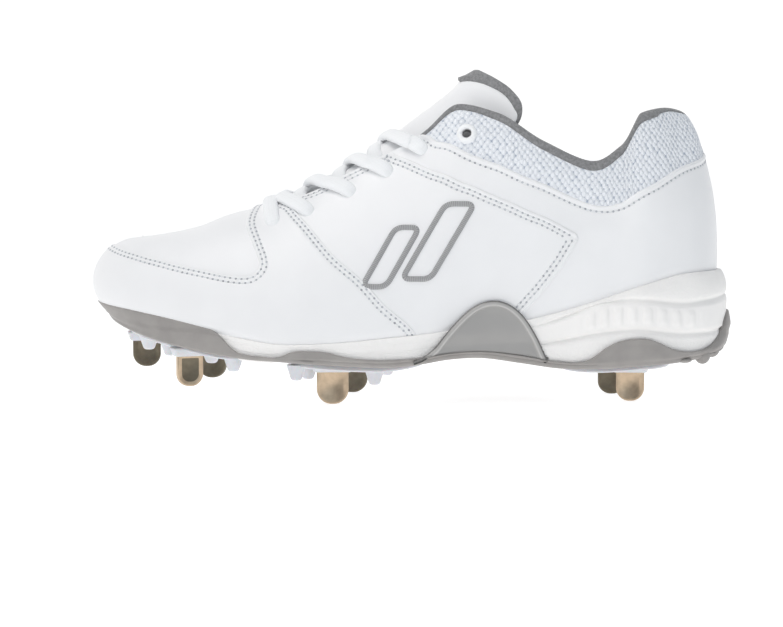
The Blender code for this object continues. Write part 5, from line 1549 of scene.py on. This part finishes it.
class CLEAT_OT_midsole(bpy.types.Operator):
    """Builds the foam midsole with the moulded bands of its heel"""

    bl_idname = "cleat.midsole"
    bl_label = "Midsole"

    def execute(self, context):
        rows = ring_rows(24)
        heights, outs, stipple = midsole_side(rows)
        low, rim = heights[0], heights[-1]
        heights = np.concatenate([heights, [rim - 0.3, low + 2.0, low, low]])
        outs = np.concatenate([outs, np.stack([np.full(rows.shape, -0.6), np.full(rows.shape, -1.2),
                                               np.full(rows.shape, -4.0), outs[0]])])
        stipple = np.concatenate([stipple, np.zeros((4, len(rows)))])
        points = beside(np.broadcast_to(rows, heights.shape), heights, outs)
        mesh = sheet_mesh("midsole", points, True, {"stipple": stipple})
        finish = moulded_foam(context.scene.cleat_colours)
        add_piece("midsole", mesh, [finish], ("midsole",))
        return {"FINISHED"}


class CLEAT_OT_insole(bpy.types.Operator):
    """Builds the insole with a rounded, slightly dished top"""

    bl_idname = "cleat.insole"
    bl_label = "Insole"

    def execute(self, context):
        rows = ring_rows(8)
        feather, out = FORM.feather(rows), FORM.out(rows)
        lines = []
        section = ((2.9, 0.4), (2.9, INSOLE - 1.0), (3.2, INSOLE - 0.3), (4.0, INSOLE), (8.0, INSOLE - 0.3))
        for inside, rise in section:
            lines.append(feather - out * inside + (0.0, 0.0, rise))
        ring = lines[-1]
        for share in (0.18, 0.34, 0.5):
            lines.append(ring + (ring[::-1] - ring) * share - (0.0, 0.0, 0.6 * share))
        under = lines[0]
        floor = [under + (under[::-1] - under) * share for share in (0.5, 0.3, 0.1)]
        mesh = sheet_mesh("insole", np.stack([*floor, *lines]), True)
        finish = knit_lining(context.scene.cleat_colours)
        piece = add_piece("insole", mesh, [finish], ("insole",))
        return {"FINISHED"}


class CLEAT_OT_outsole(bpy.types.Operator):
    """Builds the grey outsole with its toe rand, heel lip and heel lugs"""

    bl_idname = "cleat.outsole"
    bl_label = "Outsole"

    def execute(self, context):
        finish = outsole_rubber(context.scene.cleat_colours)
        rows = ring_rows(24)
        mesh = sheet_mesh("outsole", self.lines(rows), True)
        add_piece("outsole", mesh, [finish], ("outsole",))
        self.lugs(finish)
        return {"FINISHED"}

    def lines(self, rows):
        """Lines round the plate: its underside, up its wall and over the edge, then its upper side."""
        feather = FORM.feather(rows)
        x = feather[:, 0]
        base = np.minimum(BOTTOM(x), feather[:, 2] - 2.6)
        heights, outs, _ = midsole_side(rows, 0.0)
        plain = np.maximum.accumulate(outs[:3], axis=0)
        outs = np.concatenate([plain, np.maximum(outs[3:], np.minimum(outs[3], outs[-2]))])

        def cover(level):
            """How far out the midsole reaches at a level, station by station."""
            reach = [np.interp(level[i], heights[:, i], outs[:, i]) for i in range(len(rows))]
            return np.maximum(np.where(level > heights[-1], 0.0, reach), 0.4)

        tops, proud = np.array(OUTSOLE_TOP), GAP + RAND * (0.5 + 0.5 * ease(-138.0, -118.0, x))
        wall = beside(rows, base + 4.0, cover(base + 4.0) + proud)
        for _ in range(3):
            top = np.maximum(curve_through(*tops.T)(wall[:, 0]), base + 2.0)
            wall = beside(rows, top, cover(top) + proud)
        sides = []
        foot = cover(base + 2.2) + proud
        for rise, inset in ((0.0, 3.2), (0.25, 1.6), (0.75, 0.7), (1.4, 0.2)):
            sides.append(beside(rows, base + rise, foot - inset))
        lip = ease(131.0, 137.0, wall[:, 0])
        for share in np.linspace(0.0, 1.0, 12):
            level = base + 1.9 + share * (np.maximum(top - 0.5, base + 2.0) - base - 1.9)
            bulge = lip * (0.9 * math.sin(math.pi * share) - 0.7 * share**3)
            sides.append(beside(rows, level, cover(level) + proud + bulge))
        crown = cover(top) + proud - 0.7 * lip
        for drop, inset in ((0.18, 0.12), (0.0, 0.5), (0.05, RAND), (0.6, RAND + 0.2)):
            sides.append(beside(rows, top - drop, np.maximum(crown - inset, cover(top) - 0.2)))
        inner = beside(rows, np.minimum(base + PLATE, top - 0.7), foot - RAND - 1.0)
        under, roof = self.flat(rows, -1.0, 0.0), self.flat(rows, 1.0, PLATE)
        return np.stack([*under, *sides, inner, *roof])

    def flat(self, rows, face, rise):
        """Lines under the foot, from the middle of the plate to its edge or back again."""
        feather, out = FORM.feather(rows), FORM.out(rows)
        rings = [feather - out * 3.5, feather - out * 10.0]
        rings += [rings[1] + (rings[1][::-1] - rings[1]) * share for share in (0.12, 0.25, 0.38, 0.5)]
        for ring in rings:
            ring[:, 2] = BOTTOM(ring[:, 0]) + rise
        return rings[::-1] if face < 0 else rings

    def lugs(self, finish):
        """Three rounded lugs round each side of the heel's edge."""
        made = []
        for row, foot in HEEL_LUGS:
            for turn in (1.0, -1.0):
                spot = np.array(turn * row)
                out = FORM.out(spot)
                middle = FORM.feather(spot)
                middle = middle + out * (float(FLARE(middle[0])) - 1.9)
                middle[2] = float(BOTTOM(middle[0])) + 0.6
                along, up = np.cross(out, (0.0, 0.0, 1.0)), np.array([0.0, 0.0, 1.0])
                place = placing(middle, (along, out, up), (*HEEL_LUG_SIZE, 2.0 * (middle[2] - foot)))
                bm = bmesh.new()
                bmesh.ops.create_uvsphere(bm, u_segments=20, v_segments=14, radius=0.5, matrix=place)
                made.append(finished(bm, "lug"))
        add_piece("heel_lugs", joined_mesh("heel_lugs", made), [finish])


class CLEAT_OT_shields(bpy.types.Operator):
    """Builds the satin arch shields with their raised rim"""

    bl_idname = "cleat.shields"
    bl_label = "Arch shields"

    def execute(self, context):
        finish = satin_shield(context.scene.cleat_colours)
        hump, foot = line_through(ARCH_SHIELD, 50), np.array(OUTSOLE_TOP)
        across = np.concatenate([np.linspace(0.0, 0.7, 24), np.linspace(0.72, 1.0, 26)])
        along = np.linspace(0.0, 1.0, 131)
        x = np.interp(along, np.linspace(0.0, 1.0, len(hump)), hump[:, 0])
        high = np.interp(along, np.linspace(0.0, 1.0, len(hump)), hump[:, 1])
        low = np.minimum(curve_through(*foot.T)(x) + 0.1, high - 0.4)
        level = low[:, None] + across * (high - low)[:, None]
        place = np.stack(np.broadcast_arrays(x[:, None], level), axis=-1)
        edge = np.min(np.linalg.norm(place[:, :, None, :] - hump[None, None], axis=-1), axis=-1)
        # Painted shadow along the outer edge and along the foot, and a painted highlight on the ridge 2 mm
        # inside the edge
        rim = 0.42 * (1 - ease(0.35, 0.7, edge)) + 0.3 * (1 - ease(0.2, 0.7, level - low[:, None]))
        rim = rim - 0.3 * bell(edge - 2.0, 0.35) - 0.12 * ease(0.6, 0.9, edge) * (1 - ease(2.0, 2.4, edge))
        for side, turn in SIDES:
            points = self.surface(place, edge, turn)
            way = 1 if turn > 0 else -1
            name, marks = "arch_shield_" + side, {"rim": np.clip(rim, -0.35, 0.42)[::way]}
            mesh = sheet_mesh(name, points[::way], False, marks)
            piece = add_piece(name, mesh, [finish], (name,))
            add_wall(piece, SHIELD)
        return {"FINISHED"}

    def surface(self, place, edge, turn):
        """The shield's outer face: a rounded rim and a shallow dish inside it."""
        x, z = place[..., 0], place[..., 1]
        seat = 2.9 - 1.3 * ease(30.0, 42.0, z) + 0.5 * (1 - ease(22.0, 28.0, z))
        drop = 1.3 * (1 - quarter_round(edge / 2.1))
        drop = drop + 0.7 * ease(2.1, 2.9, edge) * (1.0 - 0.5 * ease(2.9, 12.0, edge))
        distance = seat + GAP + SHIELD - drop
        row = np.interp(-x, -FORM.values["fx"][4:11], np.arange(4.0, 11.0)) * turn
        for _ in range(5):
            here = beside(row, z, distance)[..., 0]
            slope = (beside(row + 0.05, z, distance)[..., 0] - here) / 0.05
            row = row - np.clip((here - x) / slope, -0.3, 0.3)
        return beside(row, z, distance)


# Lug plates and spikes


def boss_foot(spike):
    """The foot of a spike's boss, clear of the plate along the whole blade."""
    reach = np.array([-0.6, 0.0, 0.6]) * spike.width
    return float(BOTTOM(spike.x + reach).min()) - PLATE_CLEAR - PLATE_DROP - 0.8


def spike_place(spike, lift):
    """A matrix that stands a shape at a spike's place, turned as the spike is."""
    turn = math.radians(spike.turn)
    axes = ((math.cos(turn), math.sin(turn), 0.0), (-math.sin(turn), math.cos(turn), 0.0), (0.0, 0.0, 1.0))
    return placing((spike.x, spike.y, lift), axes, (1.0, 1.0, 1.0))


class CLEAT_OT_lug_plates(bpy.types.Operator):
    """Builds the white lug plates with their cones and the bosses that hold the spikes"""

    bl_idname = "cleat.lug_plates"
    bl_label = "Lug plates"

    def execute(self, context):
        finish = clear_white_tpu(context.scene.cleat_colours)
        for name, (rows, cones, held) in PLATES.items():
            bm = bmesh.new()
            plate = self.plate(rows)
            bm.from_mesh(plate)
            bpy.data.meshes.remove(plate)
            for x, y, drop in cones:
                self.cone(bm, x, y, drop)
            for spike in SPIKES:
                if spike.name in held:
                    self.boss(bm, spike)
            bmesh.ops.recalc_face_normals(bm, faces=bm.faces)
            add_piece(name, finished(bm, name), [finish], (name,), sharp=50)
        return {"FINISHED"}

    def plate(self, rows):
        """The plate: from edge to edge at each place along, with its lower edges rounded."""
        xs, lows, highs = np.array(rows, float).T
        x = xs[0] + (xs[-1] - xs[0]) * (0.5 - 0.5 * np.cos(np.linspace(0.0, math.pi, 41)))
        low, high = curve_through(xs, lows)(x), curve_through(xs, highs)(x)
        end = np.sqrt(np.clip(1 - (2 * (x - xs[0]) / (xs[-1] - xs[0]) - 1) ** 12, 0.02, 1.0))
        middle = 0.5 * (low + high)
        low, high = middle + (low - middle) * end, middle + (high - middle) * end
        top = BOTTOM(x) + 0.2
        section = [(1.4, 0.0), (0.9, 0.9), (0.2, 1.6), (0.0, 2.2), (0.25, 2.6), (0.8, 2.75)]
        lines = [np.stack([x, low + inset, top - drop], axis=-1) for inset, drop in section]
        lines += [np.stack([x, high - inset, top - drop], axis=-1) for inset, drop in reversed(section)]
        return sheet_mesh("plate", np.stack([*lines, lines[0]]), True)

    def cone(self, bm, x, y, drop):
        """A cone under the plate with a rounded tip."""
        top = float(BOTTOM(x)) - PLATE_CLEAR - 0.5 * PLATE_DROP
        depth = drop + 0.5 * PLATE_DROP
        place = Matrix.Translation(Vector(to_part((x, y, top - depth / 2))))
        made = bmesh.ops.create_cone(bm, cap_ends=True, segments=28, radius1=CONE_TIP_RADIUS * MM,
                                     radius2=CONE_TOP_RADIUS * MM, depth=depth * MM, matrix=place)["verts"]
        lowest = min(vert.co.z for vert in made)
        edges = {edge for vert in made for edge in vert.link_edges}
        tip = [edge for edge in edges if all(vert.co.z < lowest + MM for vert in edge.verts)]
        bmesh.ops.bevel(bm, geom=tip, offset=1.1 * MM, segments=4, affect="EDGES", profile=0.5, material=-1)

    def boss(self, bm, spike):
        """A rounded block round the root of a blade."""
        half, foot = spike.width / 2 + BOSS_MARGIN, boss_foot(spike)
        top = float(BOTTOM(spike.x)) - PLATE_CLEAR
        made = bmesh.ops.create_cube(bm, size=1.0)["verts"]
        bmesh.ops.scale(bm, vec=(2 * half, SPIKE_THICKNESS + 2 * BOSS_MARGIN, top - foot), verts=made)
        for vert in made:
            if vert.co.z < 0:
                vert.co.x *= (half - 1.4) / half
                vert.co.y *= 0.7
        bmesh.ops.translate(bm, vec=(0.0, 0.0, (top - foot) / 2), verts=made)
        bmesh.ops.transform(bm, matrix=spike_place(spike, foot), verts=made)
        edges = {edge for vert in made for edge in vert.link_edges}
        bmesh.ops.bevel(bm, geom=list(edges), offset=1.0 * MM, segments=4, affect="EDGES", profile=0.5,
                        material=-1)


class CLEAT_OT_spikes(bpy.types.Operator):
    """Builds the steel blade spikes with a plain stamped recess on each face"""

    bl_idname = "cleat.spikes"
    bl_label = "Spikes"

    def execute(self, context):
        colours = context.scene.cleat_colours
        # Two copies of one steel: the bright one lit, the dark one painted in shade
        bright = spike_steel("tinted_spring_steel", colours.steel, 0.34)
        dark = spike_steel("shaded_spring_steel", colours.shaded_steel, 0.42)
        finishes = {"dark": [dark, dark], "bright": [bright, bright], "stamped": [bright, dark]}
        for spike in SPIKES:
            finish = finishes[spike.finish]
            piece = add_piece(spike.name, self.blade(spike), finish, (spike.name,), sharp=35)
            edge = piece.modifiers.new("worn_edge", "BEVEL")
            edge.width = 0.35 * MM
            edge.segments = 3
            edge.limit_method = "ANGLE"
            edge.angle_limit = math.radians(35)
        return {"FINISHED"}

    def blade(self, spike):
        """A round-toed blade, let a little way into its boss."""
        half = spike.width / 2
        radius = SPIKE_TOE_SHARE * half
        height = boss_foot(spike) + 1.2 - spike.foot
        bm = bmesh.new()
        turns = [math.radians(angle) for angle in range(0, 91, 9)]
        right = [(half - radius + radius * math.sin(a), radius - radius * math.cos(a)) for a in turns]
        right.append((half, height))
        outline = [*right, *[(-x, z) for x, z in reversed(right)]]
        face = bm.faces.new([bm.verts.new((x, -SPIKE_THICKNESS / 2, z)) for x, z in outline])
        moved = bmesh.ops.extrude_face_region(bm, geom=[face])["geom"]
        verts = [item for item in moved if isinstance(item, bmesh.types.BMVert)]
        bmesh.ops.translate(bm, vec=(0.0, SPIKE_THICKNESS, 0.0), verts=verts)
        bmesh.ops.recalc_face_normals(bm, faces=bm.faces)
        sides = [face for face in bm.faces if abs(face.normal.y) > 0.9]
        bmesh.ops.inset_individual(bm, faces=sides, thickness=1.5, use_even_offset=True)
        bmesh.ops.inset_individual(bm, faces=sides, thickness=0.5, depth=-0.3, use_even_offset=True)
        # The recessed faces take the second finish, painted in shade on stamped blades
        for face in sides:
            face.material_index = 1
        bmesh.ops.transform(bm, matrix=spike_place(spike, spike.foot), verts=bm.verts)
        return finished(bm, spike.name)


# Stage


def aim(thing, eye, target):
    """Places a lamp or camera and turns it to a point, in the drawing's millimetres."""
    eye, target = Vector(to_part(eye)), Vector(to_part(target))
    thing.location = eye
    thing.rotation_euler = (target - eye).to_track_quat("-Z", "Y").to_euler()


class CLEAT_OT_stage(bpy.types.Operator):
    """Sets the pale floor, the soft studio light and the camera"""

    bl_idname = "cleat.stage"
    bl_label = "Stage"

    def execute(self, context):
        scene = context.scene
        self.floor(scene)
        for lamp in LAMPS:
            self.lamp(scene, *lamp)
        self.studio(scene)
        camera = bpy.data.objects.new("photo_camera", bpy.data.cameras.new("photo_camera"))
        scene.collection.objects.link(camera)
        camera.data.sensor_width = SENSOR
        camera.data.lens = SENSOR * DISTANCE / FRAME_WIDTH
        camera.data.clip_end = 20.0
        raised = np.array([0.0, 0.0, VIEW_DROP])
        aim(camera, EYE + raised, TARGET + raised)
        scene.camera = camera
        scene.view_settings.view_transform = "Standard"
        return {"FINISHED"}

    def studio(self, scene):
        """A white room: bright behind the shoe, dimmer and bluer towards the camera and the heel."""
        world = scene.world or bpy.data.worlds.new("studio")
        scene.world = world
        world.use_nodes = True
        tree = world.node_tree
        tree.nodes.clear()
        place = add_node(tree, "ShaderNodeTexCoord")
        way = add_node(tree, "ShaderNodeVectorMath", {
            0: (place, "Generated"), 1: (-0.12, 0.85, 0.0)}, operation="DOT_PRODUCT")
        level = add_node(tree, "ShaderNodeMapRange", {
            "Value": (way, "Value"), "From Min": -0.4, "From Max": 0.8, "To Min": 0.3, "To Max": 1.05,
        }, interpolation_type="SMOOTHSTEP")
        tone = add_node(tree, "ShaderNodeValToRGB", {"Fac": (level, "Result")},
                        stops=((0.0, (0.8, 0.9, 1.0)), (1.0, (1.0, 1.0, 1.0))))
        back = add_node(tree, "ShaderNodeBackground", {
            "Color": (tone, "Color"), "Strength": (level, "Result")})
        add_node(tree, "ShaderNodeOutputWorld", {"Surface": (back, "Background")})

    def floor(self, scene):
        """White paper that glows a little, so that it stays pale round the shoe."""
        bm = bmesh.new()
        bmesh.ops.create_grid(bm, x_segments=1, y_segments=1, size=FLOOR_HALF)
        mesh = finished(bm, "studio_floor")
        made, _, _ = new_material("white_paper", linear("C4C4C4"), 0.95, **{
            "Emission Color": (1.0, 1.0, 1.0, 1.0), "Emission Strength": FLOOR_GLOW})
        mesh.materials.append(made)
        floor = bpy.data.objects.new("studio_floor", mesh)
        scene.collection.objects.link(floor)

    def lamp(self, scene, name, eye, size, power, colour):
        light = bpy.data.lights.new(name, "AREA")
        light.shape = "DISK"
        light.size = size * MM
        light.energy = power
        light.color = colour
        lamp = bpy.data.objects.new(name, light)
        scene.collection.objects.link(lamp)
        aim(lamp, eye, LAMP_AIM)


class CLEAT_PT_build(bpy.types.Panel):
    """Lists the shoe's pieces in the order in which they are built"""

    bl_label = "Softball cleat"
    bl_idname = "CLEAT_PT_build"
    bl_space_type = "VIEW_3D"
    bl_region_type = "UI"
    bl_category = "Cleat"

    def draw(self, context):
        for step in STEPS:
            self.layout.operator(step.bl_idname)
        for group in (context.scene.cleat_sizes, context.scene.cleat_colours):
            for name in group.__annotations__:
                self.layout.prop(group, name)


STEPS = (
    CLEAT_OT_stage, CLEAT_OT_upper, CLEAT_OT_panels, CLEAT_OT_stitching, CLEAT_OT_emblem, CLEAT_OT_tongue,
    CLEAT_OT_eyelets, CLEAT_OT_laces, CLEAT_OT_midsole, CLEAT_OT_insole, CLEAT_OT_outsole, CLEAT_OT_shields,
    CLEAT_OT_lug_plates, CLEAT_OT_spikes,
)
CLASSES = (CleatSizes, CleatColours, *STEPS, CLEAT_PT_build)


def register():
    for made in CLASSES:
        bpy.utils.register_class(made)
    bpy.types.Scene.cleat_sizes = bpy.props.PointerProperty(type=CleatSizes)
    bpy.types.Scene.cleat_colours = bpy.props.PointerProperty(type=CleatColours)


def unregister():
    del bpy.types.Scene.cleat_colours
    del bpy.types.Scene.cleat_sizes
    for made in reversed(CLASSES):
        bpy.utils.unregister_class(made)


def main():
    """Builds every piece in order."""
    register()
    for step in STEPS:
        group, name = step.bl_idname.split(".")
        getattr(getattr(bpy.ops, group), name)()
    bpy.context.view_layer.update()


if __name__ == "__main__":
    main()
